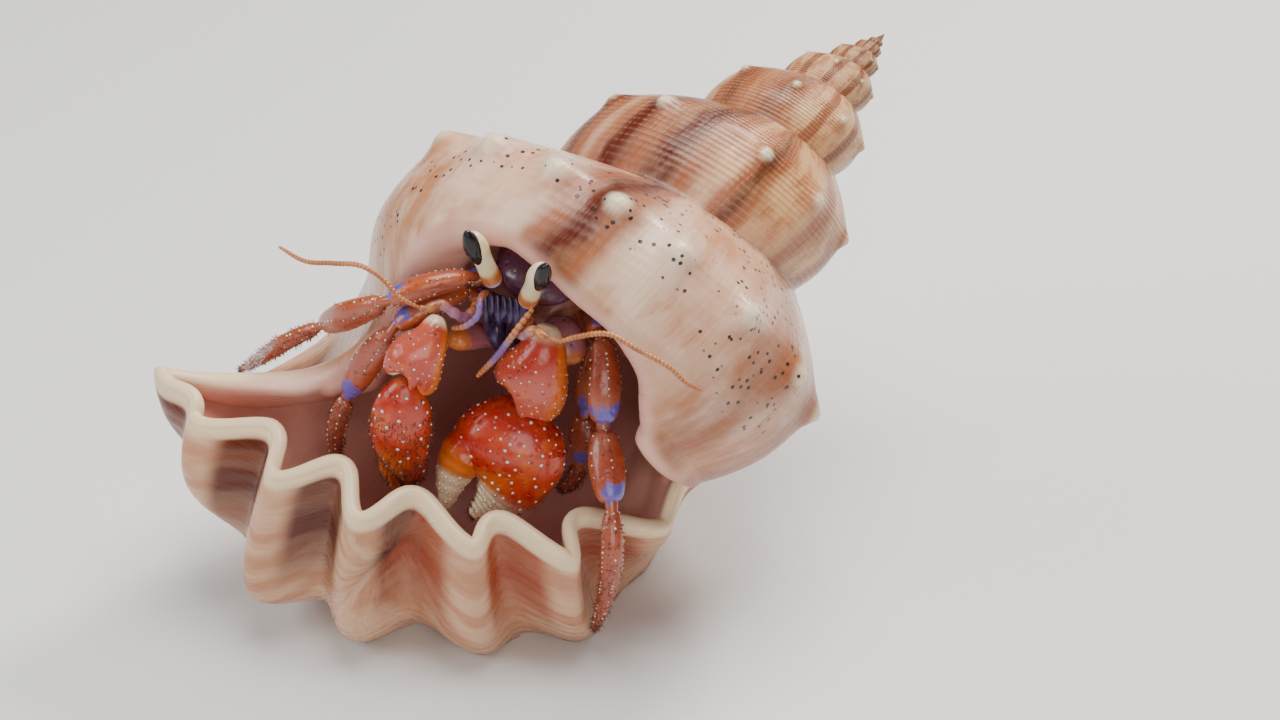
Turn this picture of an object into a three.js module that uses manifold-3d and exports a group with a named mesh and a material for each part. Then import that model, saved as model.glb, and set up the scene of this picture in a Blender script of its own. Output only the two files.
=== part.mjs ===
// A hermit crab in a tall whelk-like shell, standing still, in millimetres, +Z up.
// The crab looks out of the shell's mouth toward -Y; the shell's point rises toward +X and +Y.
// Left and right are the crab's own: its large claw is the left one, on the +X side.
import * as THREE from "three";
import Module from "manifold-3d";

const wasm = await Module();
wasm.setup();

// ---- the shell's driving sizes ----
const APEX = new THREE.Vector3(55.345, 55.8, 57.182); // the shell's point
const AXIS = new THREE.Vector3(0.66332, 0.62166, 0.41658); // along the coiling axis, toward the point
const FRONT = new THREE.Vector3(0.1817, -0.67381, 0.71621); // square to the axis, the side that faces up
const RIGHT = new THREE.Vector3(0.72594, -0.39938, -0.55992); // square to both, toward +X
const FIRST_TURN = -95; // degrees round the axis where the last whorl ends
const LAST_TURN = 265; // the same direction one whorl on, where the mouth begins
const SHOULDER_RADIUS = 25.1; // at the shoulder, one whorl before the mouth
const GROWTH = 1.785; // how much wider each whorl is than the one before
const LAST_WHORL_SLOWDOWN = 0.626; // the last whorl widens more slowly
const SHOULDER_HEIGHT = 1.78; // distance below the point, as a share of the shoulder's radius
const SUTURE_HEIGHT = 2.4; // where a whorl meets the next, as a share of its shoulder's radius
const WHORLS = 9;
const TIP_SLOPE = 0.42; // radius over distance on the first, tiny whorl
const LIP_THICKNESS = 1.9;
const FLUTE_DEPTH = 2.4; // the waves along the outer lip
const FLOOR_SKIM = 0.25; // anything lower than this is flattened to the floor

// Low knobs sit on the shoulder, at these turns counted back from the mouth.
const KNOB_TURNS = [
  -0.53, -0.588, -0.643, -0.691, -0.741, -0.804, -0.875, -0.95, -1.04,
  -1.13, -1.24, -1.35, -1.44, -1.52, -1.605, -1.736, -1.823,
];
const FIRST_EVEN_KNOB = -1.93; // from here up to the point they are evenly spaced
const KNOB_STEP = 0.125; // that spacing, in turns
const KNOB_HEIGHT = 0.066; // as a share of the shoulder's radius
const KNOB_WIDTH = 0.13;

// ---- how finely the shell is faceted ----
const ARCH_COLUMNS = 20; // round the arch over the crab
const LIP_COLUMNS = 46; // round the free outer lip
const WHORL_ROWS = 5; // rows from one suture to the next; they run parallel to it
const SPIRE_ROWS = 6 * WHORL_ROWS; // down to the last suture
const COARSE_ROWS = 20; // the first rows use every other column
const ARCH_BAND = 6; // how far above the arch's edge the belly rows begin
const THIN_BAND = 0.6; // the same where the arch begins, at the last suture
const BELLY_ROWS = 6;
const EDGE_ROWS = 2;
const THROAT_ROWS = 5;

// The mouth's edge over the crab. Each row: degrees round the axis, distance below the point,
// radius of the rolled edge, degrees it rolls through, and the degrees at which it meets the throat.
const ARCH = [
  [-95, 60, 0.9, 150, -95],
  [-85, 61, 1.2, 130, -88],
  [-70, 62.6, 1.6, 125, -72],
  [-55, 64, 2, 130, -58],
  [-40, 64.2, 2.2, 150, -42],
  [-28, 62.6, 2.4, 160, -30],
  [-18, 60.6, 2.4, 160, -18],
  [-9, 59.8, 2.4, 160, -6],
  [14, 59.8, 2.4, 160, 22],
  [24, 59.4, 2.5, 155, 36],
  [33, 59.4, 2.6, 150, 52],
  [41, 60, 3, 140, 68],
  [50, 62, 3.6, 105, 82],
  [60, 66, 4.5, 55, 94],
  [72, 72.5, 4, 25, 104],
  [86, 76.5, 3, 25, 113],
  [99, 79.5, 2.5, 70, 120],
];

// The free outer lip from the wing on the crab's right round to the canal on its left. Each row:
// degrees round the axis, distance below the point where the wall is left, the rim's place,
// the belly point that pulls the wall outward, and the degrees at which it meets the throat.
const LIP = [
  [111, 68, [-18.3, 20.8, 28.2], [-17.5, 25, 17], 124],
  [118, 66, [-25.8, 21, 27.8], [-25.5, 24.5, 13], 130],
  [126, 64, [-31.2, 20.5, 28.5], [-32, 23.2, 14], 136],
  [134, 62.5, [-36.6, 19.3, 30], [-37.5, 21, 18], 142],
  [141, 62, [-34.3, 15.4, 29.5], [-39, 11, 13], 148],
  [148, 62, [-28.7, 11.4, 29], [-37, 3.5, 6], 153],
  [155, 62, [-23.7, 7.4, 28], [-36, -4, -6], 159],
  [162, 62, [-18.8, 4, 27], [-32, -7, -12], 166],
  [170, 62, [-14.1, 1.5, 26], [-24.5, -8.5, -14.5], 174],
  [178, 62, [-9.4, -0.9, 25], [-16.5, -9, -15], 182],
  [187, 62, [-3.2, -2.7, 24], [-7.5, -8.5, -14], 191],
  [197, 62, [2.7, -3.1, 22.5], [2, -8, -13], 200],
  [209, 62, [8.4, -4, 21.5], [9, -6, -12], 211],
  [221, 62, [14.1, -3.5, 20], [14, 0, -8], 222],
  [234, 61, [18.9, 0.9, 18.5], [16.5, 8, -2], 235],
  [250, 60, [26.3, 6.4, 16], [25.5, 12, 6], 250],
  [265, 59.5, [30.6, 10.1, 19.5], [31, 12, 16], 265],
];
const FLUTE_START = 5; // the first trough is this row of the lip
const MOUTH_CENTRE = new THREE.Vector3(-4, 14, 24);

// ---- small number helpers ----
const DEGREE = Math.PI / 180;

function vector(values) {
  return new THREE.Vector3(values[0], values[1], values[2]);
}

function smoothStep(value, from, to) {
  const share = THREE.MathUtils.clamp((value - from) / (to - from), 0, 1);
  return share * share * (3 - 2 * share);
}

// A smooth curve through values given at knots; the value is held past the first and last knot.
function curveAt(position, knots, values) {
  const last = knots.length - 1;
  const at = THREE.MathUtils.clamp(position, knots[0], knots[last]);
  let i = 0;
  while (i < last - 1 && at >= knots[i + 1]) {
    i += 1;
  }
  const slope = (k) => (values[k + 1] - values[k]) / (knots[k + 1] - knots[k]);
  const tangent = (k) => {
    if (k === 0) {
      return slope(0);
    }
    if (k === last) {
      return slope(last - 1);
    }
    const before = knots[k] - knots[k - 1];
    const after = knots[k + 1] - knots[k];
    return (slope(k - 1) * after + slope(k) * before) / (before + after);
  };
  const step = knots[i + 1] - knots[i];
  const u = (at - knots[i]) / step;
  const start = values[i] * (1 + 2 * u) * (1 - u) ** 2 + tangent(i) * step * u * (1 - u) ** 2;
  const end = values[i + 1] * u * u * (3 - 2 * u) + tangent(i + 1) * step * u * u * (u - 1);
  return start + end;
}

function curvePoint(position, knots, points) {
  const part = (k) => curveAt(position, knots, points.map((point) => point.getComponent(k)));
  return new THREE.Vector3(part(0), part(1), part(2));
}

function bezier(share, a, b, c, d) {
  const rest = 1 - share;
  return a.clone().multiplyScalar(rest ** 3)
    .addScaledVector(b, 3 * share * rest * rest)
    .addScaledVector(c, 3 * share * share * rest)
    .addScaledVector(d, share ** 3);
}

// ---- the shell's wall ----
// A point given by its radius, its degrees round the axis and its distance below the point.
function roundAxis(radius, degrees, distance) {
  return APEX.clone()
    .addScaledVector(AXIS, -distance)
    .addScaledVector(FRONT, radius * Math.cos(degrees * DEGREE))
    .addScaledVector(RIGHT, -radius * Math.sin(degrees * DEGREE));
}

function shoulderRadius(turn) {
  const slowed = turn < -1 ? turn + 1 : (turn + 1) * LAST_WHORL_SLOWDOWN;
  return SHOULDER_RADIUS * GROWTH ** slowed;
}

function knobAt(turn, radius, distance) {
  const size = shoulderRadius(turn);
  let height = 0;
  const add = (knobTurn) => {
    const across = (turn - knobTurn) * 2 * Math.PI * radius;
    const along = distance - SHOULDER_HEIGHT * shoulderRadius(knobTurn);
    const reach = (across * across + along * along) / (KNOB_WIDTH * size) ** 2;
    height += KNOB_HEIGHT * size * Math.exp(-reach);
  };
  KNOB_TURNS.forEach(add);
  for (let knobTurn = FIRST_EVEN_KNOB; knobTurn > -WHORLS; knobTurn -= KNOB_STEP) {
    add(knobTurn);
  }
  return height;
}

// The wall's radius: each whorl rises from its suture to a shoulder, then falls to the next suture.
function wallRadius(degrees, distance) {
  const mouthTurn = (degrees - LAST_TURN) / 360;
  for (let whorl = 0; whorl <= WHORLS; whorl += 1) {
    const turn = mouthTurn - whorl;
    const radius = shoulderRadius(turn);
    const before = shoulderRadius(turn - 1);
    const nearMouth = smoothStep(turn, -0.3, 0);
    const topRadius = before * (0.985 - 0.12 * nearMouth);
    const topDistance = SUTURE_HEIGHT * before;
    if (distance < topDistance) {
      continue;
    }
    const widest = radius * (1 - 0.36 * smoothStep(turn, -0.13, 0));
    const widestDistance = SHOULDER_HEIGHT * radius + 5 * nearMouth;
    const openEnd = smoothStep(turn + 1, -0.3, 0);
    const lowRadius = radius * (0.985 - 0.12 * openEnd);
    const lowDistance = SUTURE_HEIGHT * radius;
    let wall;
    if (distance < widestDistance) {
      const share = (distance - topDistance) / (widestDistance - topDistance);
      wall = topRadius + (widest - topRadius) * (1 - (1 - share) ** 1.5);
    } else {
      const share = THREE.MathUtils.clamp((distance - widestDistance) / (lowDistance - widestDistance), 0, 1);
      wall = widest + (lowRadius - widest) * share ** 1.6 + 0.05 * widest * Math.sin(Math.PI * share);
    }
    const crabRight = smoothStep(degrees, 35, 70) * (1 - smoothStep(degrees, 150, 200));
    const drawnIn = 1 - 0.3 * crabRight * smoothStep(distance, 63, 84);
    return wall * drawnIn + knobAt(turn, wall, distance);
  }
  return distance * TIP_SLOPE;
}

function wallPoint(degrees, distance) {
  return roundAxis(wallRadius(degrees, distance), degrees, distance);
}

// The points of one column from the shell's point to the start of the mouth. The rows follow the
// suture round the spire, so that each whorl meets the next along a row.
function spirePoints(degrees, start) {
  const suture = SUTURE_HEIGHT * SHOULDER_RADIUS * GROWTH ** ((degrees - LAST_TURN) / 360);
  const excess = Math.max(0, suture - start + THIN_BAND);
  const distances = [];
  for (let row = 0; row <= SPIRE_ROWS; row += 1) {
    const shift = excess * smoothStep(row, SPIRE_ROWS - 2, SPIRE_ROWS);
    distances.push(suture * GROWTH ** ((row - SPIRE_ROWS) / WHORL_ROWS) - shift);
  }
  const last = distances[SPIRE_ROWS];
  for (let row = 1; row <= WHORL_ROWS; row += 1) {
    distances.push(last * (start / last) ** (row / WHORL_ROWS));
  }
  return distances.map((distance) => wallPoint(degrees, distance));
}

// One column of the outer wall under the arch, from the point to the mouth's edge.
function archColumn(degrees) {
  const knots = ARCH.map((row) => row[0]);
  const read = (k) => curveAt(degrees, knots, ARCH.map((row) => row[k]));
  const [edge, roll, rollDegrees, throat] = [1, 2, 3, 4].map(read);
  const band = THIN_BAND + (ARCH_BAND - THIN_BAND) * smoothStep(degrees, FIRST_TURN, -60);
  const points = spirePoints(degrees, edge - band);
  for (let i = 1; i <= BELLY_ROWS; i += 1) {
    points.push(wallPoint(degrees, edge - band + (band * i) / BELLY_ROWS));
  }
  return { points, degrees, throat, roll, rollDegrees, lip: false };
}

// One column of the outer wall under the free lip: the wall swells through its belly to the rim.
function lipColumn(place) {
  const knots = LIP.map((_, i) => i);
  const degrees = curveAt(place, knots, LIP.map((row) => row[0]));
  const start = curveAt(place, knots, LIP.map((row) => row[1]));
  const rim = curvePoint(place, knots, LIP.map((row) => vector(row[2])));
  const belly = curvePoint(place, knots, LIP.map((row) => vector(row[3])));
  const throat = curveAt(place, knots, LIP.map((row) => row[4]));
  const points = spirePoints(degrees, start);
  const base = points[points.length - 1];
  const heading = base.clone().sub(wallPoint(degrees, start - 2)).normalize();
  const lead = base.clone().addScaledVector(heading, 0.36 * rim.distanceTo(base));
  const depth = FLUTE_DEPTH * smoothStep(place, 3.6, 5) * (1 - 0.75 * smoothStep(place, 14.2, 15.6));
  const outward = rim.clone().sub(MOUTH_CENTRE).setZ(0).normalize();
  outward.z = -0.5;
  const flute = depth * Math.cos((place - FLUTE_START) * Math.PI);
  for (let i = 1; i <= BELLY_ROWS; i += 1) {
    const share = i / BELLY_ROWS;
    const fade = smoothStep(share, 0.25, 1) ** 0.8;
    points.push(bezier(share, base, lead, belly, rim).addScaledVector(outward, flute * fade));
  }
  const broad = 1 - smoothStep(place, 0, 2.4);
  const roll = LIP_THICKNESS / 2 + 1.5 * broad;
  return { points, degrees, throat, roll, rollDegrees: 178 - 60 * broad, belly, lip: true };
}

// Draws the columns beside a joint toward the mean of their neighbours.
function evenJoint(columns, joint) {
  for (const i of [joint - 1, joint, joint + 1]) {
    columns[i].points.forEach((point, row) => {
      const mean = columns[i - 1].points[row].clone().add(columns[i + 1].points[row]).multiplyScalar(0.5);
      point.lerp(mean, 0.5);
    });
  }
}

function shellColumns() {
  const columns = [];
  const archEnd = 101;
  for (let i = 0; i <= ARCH_COLUMNS; i += 1) {
    columns.push(archColumn(FIRST_TURN + ((archEnd - FIRST_TURN) * i) / ARCH_COLUMNS));
  }
  for (let i = 0; i < LIP_COLUMNS; i += 1) {
    columns.push(lipColumn(((LIP.length - 1) * i) / LIP_COLUMNS));
  }
  columns.pop();
  evenJoint(columns, ARCH_COLUMNS);
  for (const column of columns) {
    for (const point of column.points) {
      point.z = point.z < FLOOR_SKIM ? 0 : point.z;
    }
  }
  return columns;
}

// The direction in which the wall runs off its edge, turned gradually where arch and lip join.
function edgeHeadings(columns) {
  const count = columns.length;
  const headings = columns.map(({ points }) => {
    return points[points.length - 1].clone().sub(points[points.length - 3]).normalize();
  });
  const turned = headings.map((heading) => heading.clone());
  for (const [joint, width] of [[ARCH_COLUMNS, 0.05 * count], [0, 0.03 * count]]) {
    const reach = Math.max(2, Math.round(width));
    const from = headings[(joint - reach + count) % count];
    const to = headings[(joint + reach) % count];
    for (let step = -reach; step <= reach; step += 1) {
      const share = smoothStep(step, -reach, reach);
      const mixed = from.clone().lerp(to, share).normalize();
      turned[(joint + step + count) % count] = mixed;
    }
  }
  return turned;
}

// Rolls the edge over and carries the wall down the inside to the bottom of the throat.
function addInside(columns) {
  const count = columns.length;
  const headings = edgeHeadings(columns);
  const edge = columns.map(({ points }) => points[points.length - 1].clone());
  let rolls = columns.map((column) => column.roll);
  let angles = columns.map((column) => column.rollDegrees * DEGREE);
  const beside = (list, i) => list[(i + count - 1) % count] + list[(i + 1) % count];
  const evened = (list) => list.map((value, i) => (beside(list, i) + 2 * value) / 4);
  rolls = evened(evened(rolls));
  angles = evened(evened(angles));
  const throatDegrees = [-95, -60, 0, 60, 100, 140, 180, 220, 265];
  const throatRadii = [14, 18, 21, 21, 20, 20, 19, 17, 14];
  const throatDistances = [52, 52, 50, 50, 54, 56, 56, 54, 52];
  const archKnots = [-95, 0, 40, 60, 90, 101];
  const mouthDepth = roundAxis(4, 180, 76);
  columns.forEach((column, i) => {
    const along = edge[(i + 1) % count].clone().sub(edge[(i + count - 1) % count]).normalize();
    const inward = headings[i].clone().cross(along).normalize();
    const roll = rolls[i];
    for (let step = 1; step <= EDGE_ROWS; step += 1) {
      const angle = (angles[i] * step) / EDGE_ROWS;
      column.points.push(edge[i].clone()
        .addScaledVector(headings[i], roll * Math.sin(angle))
        .addScaledVector(inward, roll * (1 - Math.cos(angle))));
    }
    const start = column.points[column.points.length - 1];
    const onward = headings[i].clone().multiplyScalar(Math.cos(angles[i]))
      .addScaledVector(inward, Math.sin(angles[i]));
    const radius = curveAt(column.throat, throatDegrees, throatRadii);
    const distance = curveAt(column.throat, throatDegrees, throatDistances);
    const end = roundAxis(radius, column.throat, distance);
    let lead;
    let runIn = 9;
    if (column.lip) {
      const inset = mouthDepth.clone().sub(column.belly).normalize();
      lead = column.belly.clone().addScaledVector(inset, 3.6);
    } else {
      lead = start.clone().addScaledVector(onward, curveAt(column.degrees, archKnots, [4, 4, 6, 12, 12, 6]));
      runIn = curveAt(column.degrees, archKnots, [3, 3, 4, 10, 12, 12]);
    }
    const near = roundAxis(radius + 1, column.throat, distance + runIn);
    for (let step = 1; step <= THROAT_ROWS; step += 1) {
      column.points.push(bezier(step / THROAT_ROWS, start, lead, near, end));
    }
    column.points.push(roundAxis(radius * 0.66, column.throat, distance - 8));
    column.points.push(roundAxis(radius * 0.36, column.throat, distance - 14));
  });
  return columns;
}

// Past the last column the first one follows, one whorl further on, so its rows are shifted by a
// whorl; the last whorl's own rows all end on one point of it.
function shellGeometry() {
  const columns = addInside(shellColumns());
  const count = columns.length;
  const rows = columns[0].points.length;
  const positions = columns.flatMap(({ points }) => points.flatMap((point) => point.toArray()));
  const shifted = (row) => (row <= SPIRE_ROWS ? row + WHORL_ROWS : Math.max(row, SPIRE_ROWS + WHORL_ROWS));
  const at = (column, row) => (column < count ? column * rows + row : shifted(row));
  const tip = count * rows;
  const throatEnd = tip + 1;
  positions.push(...APEX.toArray(), ...roundAxis(0, 0, 35).toArray());
  const faces = [];
  const add = (a, b, c) => {
    if (a !== b && b !== c && a !== c) {
      faces.push(a, b, c);
    }
  };
  for (let row = 0; row < WHORL_ROWS; row += 1) {
    add(tip, at(0, row), at(0, row + 1));
  }
  for (let i = 0; i < count; i += 2) {
    add(tip, at(i + 2, 0), at(i, 0));
    for (let row = 0; row < COARSE_ROWS; row += 1) {
      add(at(i, row), at(i + 2, row), at(i, row + 1));
      add(at(i + 2, row), at(i + 2, row + 1), at(i, row + 1));
    }
    add(at(i, COARSE_ROWS), at(i + 2, COARSE_ROWS), at(i + 1, COARSE_ROWS + 1));
    add(at(i, COARSE_ROWS), at(i + 1, COARSE_ROWS + 1), at(i, COARSE_ROWS + 1));
    add(at(i + 2, COARSE_ROWS), at(i + 2, COARSE_ROWS + 1), at(i + 1, COARSE_ROWS + 1));
  }
  for (let i = 0; i < count; i += 1) {
    for (let row = COARSE_ROWS + 1; row < rows - 1; row += 1) {
      add(at(i, row), at(i + 1, row), at(i, row + 1));
      add(at(i + 1, row), at(i + 1, row + 1), at(i, row + 1));
    }
    add(at(i, rows - 1), at(i + 1, rows - 1), throatEnd);
  }
  return indexed(positions, faces);
}

// A mesh of only the points that its triangles use.
function indexed(positions, faces) {
  const used = new Map();
  const kept = [];
  const order = faces.map((old) => {
    if (!used.has(old)) {
      used.set(old, used.size);
      kept.push(positions[old * 3], positions[old * 3 + 1], positions[old * 3 + 2]);
    }
    return used.get(old);
  });
  const geometry = new THREE.BufferGeometry();
  geometry.setAttribute("position", new THREE.Float32BufferAttribute(kept, 3));
  geometry.setIndex(order);
  geometry.computeVertexNormals();
  return geometry;
}

// ---- the crab's pieces ----
// A closed limb lofted along a path. Half widths lie along the side direction, half depths across
// it; both ends are rounded off, more bluntly the higher the bluntness.
function limb({ path, widths, depths, side = [1, 0, 0], sides = 8, rings = 7, blunt = 3.5 }) {
  const points = path.map(vector);
  const lengths = [0];
  for (let i = 1; i < points.length; i += 1) {
    lengths.push(lengths[i - 1] + points[i].distanceTo(points[i - 1]));
  }
  const total = lengths[lengths.length - 1];
  const centreAt = (share) => curvePoint(share * total, lengths, points);
  const sizeAt = (share, sizes) => curveAt(share, sizes.map((_, i) => i / (sizes.length - 1)), sizes);
  const positions = [];
  for (let ring = 1; ring < rings; ring += 1) {
    const share = (1 - Math.cos((Math.PI * ring) / rings)) / 2;
    const ahead = centreAt(Math.min(1, share + 0.02)).sub(centreAt(Math.max(0, share - 0.02))).normalize();
    const across = vector(side).addScaledVector(ahead, -ahead.dot(vector(side))).normalize();
    const deep = ahead.clone().cross(across);
    const rounding = (1 - Math.abs(2 * share - 1) ** blunt) ** (1 / blunt);
    const width = sizeAt(share, widths) * rounding;
    const depth = sizeAt(share, depths) * rounding;
    const centre = centreAt(share);
    for (let i = 0; i < sides; i += 1) {
      const angle = (2 * Math.PI * i) / sides;
      positions.push(...centre.clone()
        .addScaledVector(across, width * Math.cos(angle))
        .addScaledVector(deep, depth * Math.sin(angle)).toArray());
    }
  }
  const first = (rings - 1) * sides;
  positions.push(...points[0].toArray(), ...points[points.length - 1].toArray());
  const faces = [];
  for (let i = 0; i < sides; i += 1) {
    const next = (i + 1) % sides;
    faces.push(first, next, i);
    for (let ring = 0; ring < rings - 2; ring += 1) {
      const a = ring * sides;
      faces.push(a + i, a + next, a + sides + i);
      faces.push(a + next, a + sides + next, a + sides + i);
    }
    const end = (rings - 2) * sides;
    faces.push(first + 1, end + i, end + next);
  }
  return indexed(positions, faces);
}

function solid(geometry) {
  return new wasm.Manifold(new wasm.Mesh({
    numProp: 3,
    vertProperties: geometry.attributes.position.array,
    triVerts: new Uint32Array(geometry.index.array),
  }));
}

function without(first, second) {
  const mesh = solid(first).subtract(solid(second)).getMesh();
  return indexed(Array.from(mesh.vertProperties), Array.from(mesh.triVerts));
}

// ---- colours ----
function paint(colour, roughness, metalness = 0) {
  return { color: colour, roughness, metalness };
}

const SHELL_CREAM = paint(0xd9b39a, 0.42);
const CRAB_ORANGE = paint(0xc2542c, 0.45);
const CLAW_RED = paint(0xc63a1c, 0.42);
const CLAW_CREAM = paint(0xd9c79a, 0.5);
const SOFT_MAUVE = paint(0x6a3f52, 0.5);
const STALK_CREAM = paint(0xd8c69c, 0.35);
const EYE_BLACK = paint(0x0b0b0c, 0.12);
const BELLY_BUFF = paint(0xb98b78, 0.5);

const crab = new THREE.Group();
crab.name = "hermit_crab";

function addPiece(name, geometry, colour) {
  const mesh = new THREE.Mesh(geometry, new THREE.MeshStandardMaterial({ ...colour, flatShading: true }));
  mesh.name = name;
  crab.add(mesh);
}

addPiece("shell", shellGeometry(), SHELL_CREAM);

// The front of the body sits just under the arch; its back half and the soft tail lie in the throat.
const BODY_ACROSS = [0.92, -0.209, -0.293];
addPiece("shield", limb({
  path: [[9.4, 12.6, 46], [11.2, 16, 46.6], [12.9, 18.5, 47.6], [14.6, 21.2, 48.2]],
  widths: [3.4, 5.2, 5.4, 4.2],
  depths: [2, 3, 3.2, 2.8],
  side: BODY_ACROSS,
  sides: 12,
  rings: 8,
}), SOFT_MAUVE);
addPiece("thorax", limb({
  path: [[11.4, 18, 38], [13.4, 20.8, 39.4], [15.8, 23.6, 40.8]],
  widths: [2.8, 3.8, 3.4],
  depths: [2.4, 3.2, 2.8],
  side: BODY_ACROSS,
  sides: 10,
}), CRAB_ORANGE);
addPiece("abdomen", limb({
  path: [
    [16.9, 25.1, 44.2], [15.5, 28.8, 40.8], [16.1, 30.7, 35.9], [19.4, 30.3, 31.3],
    [24.5, 27.4, 29.8], [28.6, 24.8, 33.2], [29.5, 24.8, 39], [28.7, 28.3, 42.3],
  ],
  widths: [2.8, 3.8, 3.9, 3.8, 3.4, 2.8, 2.2, 1.2],
  depths: [2.8, 3.8, 3.9, 3.8, 3.4, 2.8, 2.2, 1.2],
  side: [0.6, 0.6, 0.5],
  sides: 8,
  rings: 12,
}), BELLY_BUFF);

// The eyes: a cream stalk on a short base, with a long glossy eye on its end.
const EYES = {
  right: { base: [6.5, 9.4, 49.8], tip: [4.1, 6.4, 59] },
  left: { base: [10.5, 6.2, 49.2], tip: [12.7, 1.1, 57.9] },
};
const EYE_SHARE = 0.52; // how far up the stalk the eye begins
for (const [sideName, { base, tip }] of Object.entries(EYES)) {
  const foot = vector(base);
  const along = vector(tip).sub(foot);
  const up = (share) => foot.clone().addScaledVector(along, share).toArray();
  addPiece(`eyestalk_${sideName}`, limb({
    path: [up(0), up(0.2), up(0.4), up(EYE_SHARE)],
    widths: [1.5, 1.15, 1.1, 1.35],
    depths: [1.5, 1.15, 1.1, 1.35],
    blunt: 5,
  }), STALK_CREAM);
  addPiece(`eye_${sideName}`, limb({
    path: [up(EYE_SHARE + 0.04), up(0.8), up(1.02)],
    widths: [1.3, 1.3, 1.1],
    depths: [1.3, 1.3, 1.1],
    blunt: 2.4,
  }), EYE_BLACK);
}

// The feelers: a jointed base and a long thin whip on each side, and a short forked pair between.
const WHIP_THICKNESS = 0.62;
function feeler(name, thickness, rings, path) {
  const half = thickness / 2;
  const sizes = [half, half, half * 0.85];
  addPiece(name, limb({ path, widths: sizes, depths: sizes, sides: 5, rings }), CRAB_ORANGE);
}
feeler("feeler_base_right", 1.2, 12, [
  [4.3, 11.1, 46.2], [4.1, 8.2, 46.6], [3.1, 6.7, 46.6], [1.9, 5.7, 48], [0.2, 6.1, 49], [-1.4, 5.5, 48.7],
]);
feeler("feeler_base_left", 1.2, 12, [
  [10.8, 7.4, 46.1], [9.6, 2.8, 47.2], [10.3, 0.9, 48.2], [11.7, 0.3, 49.3], [12.6, -0.6, 49.2],
]);
feeler("feeler_right", WHIP_THICKNESS, 20, [
  [-2.1, 5.5, 48.9], [-4.1, 5.8, 49.9], [-6.8, 7.4, 52.1], [-8.7, 8.4, 52.7],
  [-12.4, 10.3, 51.9], [-15.9, 12.1, 51], [-19.3, 14.8, 51.3],
]);
feeler("feeler_left", WHIP_THICKNESS, 20, [
  [13.3, -1, 49.2], [14.2, -1.6, 49.1], [16.3, -2.3, 50.1], [20.4, -3.5, 51.3], [23.2, -4.5, 50.1],
  [27.2, -5.2, 47.8], [29.3, -5.3, 45.6], [30.9, -4.7, 44.2],
]);
feeler("small_feeler_right", 0.8, 10, [
  [5.7, 9.5, 48.4], [5, 6.3, 49.4], [4.8, 4.8, 48.3], [3.5, 4.9, 46.8], [1.6, 6.3, 45.3],
]);
feeler("small_feeler_left", 0.8, 10, [
  [11.3, 2.9, 50.5], [9.3, 0.8, 48.7], [6.6, 3.3, 43], [4.4, 5, 39.3],
]);

// A short lobe on each side of the mouth.
const MOUTH_LEGS = {
  right: [[6.8, 13.6, 41.6], [6.4, 13.1, 40], [6.7, 13, 37.4]],
  left: [[9.2, 13.2, 41.6], [8.9, 13, 40], [8.2, 13, 37.2]],
};
for (const [sideName, path] of Object.entries(MOUTH_LEGS)) {
  const lobe = limb({ path, widths: [0.9, 1, 0.7], depths: [0.8, 0.9, 0.6], sides: 6, rings: 6 });
  addPiece(`mouth_leg_${sideName}`, lobe, SOFT_MAUVE);
}

// ---- claws ----
// The large left claw and the small right claw: an upper arm, a wrist, a hand that narrows into its
// fixed finger, and a moving finger set into the hand's edge.
const CLAWS = {
  left: {
    side: [0.918, -0.229, -0.322],
    arm: {
      path: [[13.2, 16.3, 39.7], [14.4, 13.9, 38.1], [14.9, 11.8, 36]],
      widths: [2.2, 2.8, 2.4],
      depths: [2, 2.2, 1.8],
    },
    wrist: {
      path: [[12.9, 9.2, 43.9], [12.2, 8, 41], [10.7, 8, 36.6], [10.1, 8.7, 33.2]],
      widths: [1.6, 3.2, 4.6, 4.2],
      depths: [1.6, 2.8, 3.3, 2.6],
    },
    hand: {
      path: [
        [9.4, 10.5, 30.8], [8.4, 9.6, 28.6], [7.8, 8.7, 26], [7.9, 8, 23.5],
        [7.3, 7.2, 21.3], [5.4, 6.6, 19.1], [2.8, 6.2, 17.3],
      ],
      widths: [3.6, 6.2, 7.2, 6.6, 4.6, 2.5, 1.2],
      depths: [2.4, 3.5, 3.9, 3.5, 2.8, 1.9, 1],
    },
    finger: {
      path: [[3.1, 9, 26.7], [1.1, 8.2, 23.5], [-0.1, 7.4, 20.7], [-0.2, 6.5, 18.1]],
      widths: [2.4, 2.3, 1.6, 1],
      depths: [2.2, 2, 1.4, 0.9],
    },
  },
  right: {
    side: [1, 0, 0],
    arm: {
      path: [[6.6, 17.4, 36.8], [3.6, 14.6, 38.4], [1, 11.8, 39.6]],
      widths: [1.6, 1.9, 1.7],
      depths: [1.4, 1.6, 1.4],
    },
    wrist: {
      path: [[-0.2, 8.6, 45.6], [-1.1, 6.8, 43.6], [-2.9, 5.7, 41.1], [-3.7, 5.8, 38.6]],
      widths: [1.1, 2.3, 3.5, 3.6],
      depths: [1.1, 1.9, 2.3, 2.1],
    },
    hand: {
      path: [
        [-4.6, 7.3, 35.8], [-5, 7.3, 32.5], [-5.3, 7.4, 28.6],
        [-4.9, 7.6, 25.1], [-4.3, 8.1, 22.3], [-5.2, 8.5, 19.4],
      ],
      widths: [2.6, 3.6, 3.8, 3.2, 1.9, 0.9],
      depths: [1.9, 2.5, 2.7, 2.3, 1.6, 0.8],
    },
    finger: {
      path: [[-6.6, 7.9, 26.8], [-6.8, 8.2, 23.5], [-6.4, 8.4, 21], [-5.8, 8.8, 18.8]],
      widths: [1.7, 1.6, 1.2, 0.7],
      depths: [1.6, 1.4, 1.1, 0.7],
    },
  },
};
const FINGER_GAP = 0.4; // between the moving finger and its socket in the hand
const SOCKET_EXTRA = 0.5; // how much further the socket reaches past the finger's root

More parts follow.
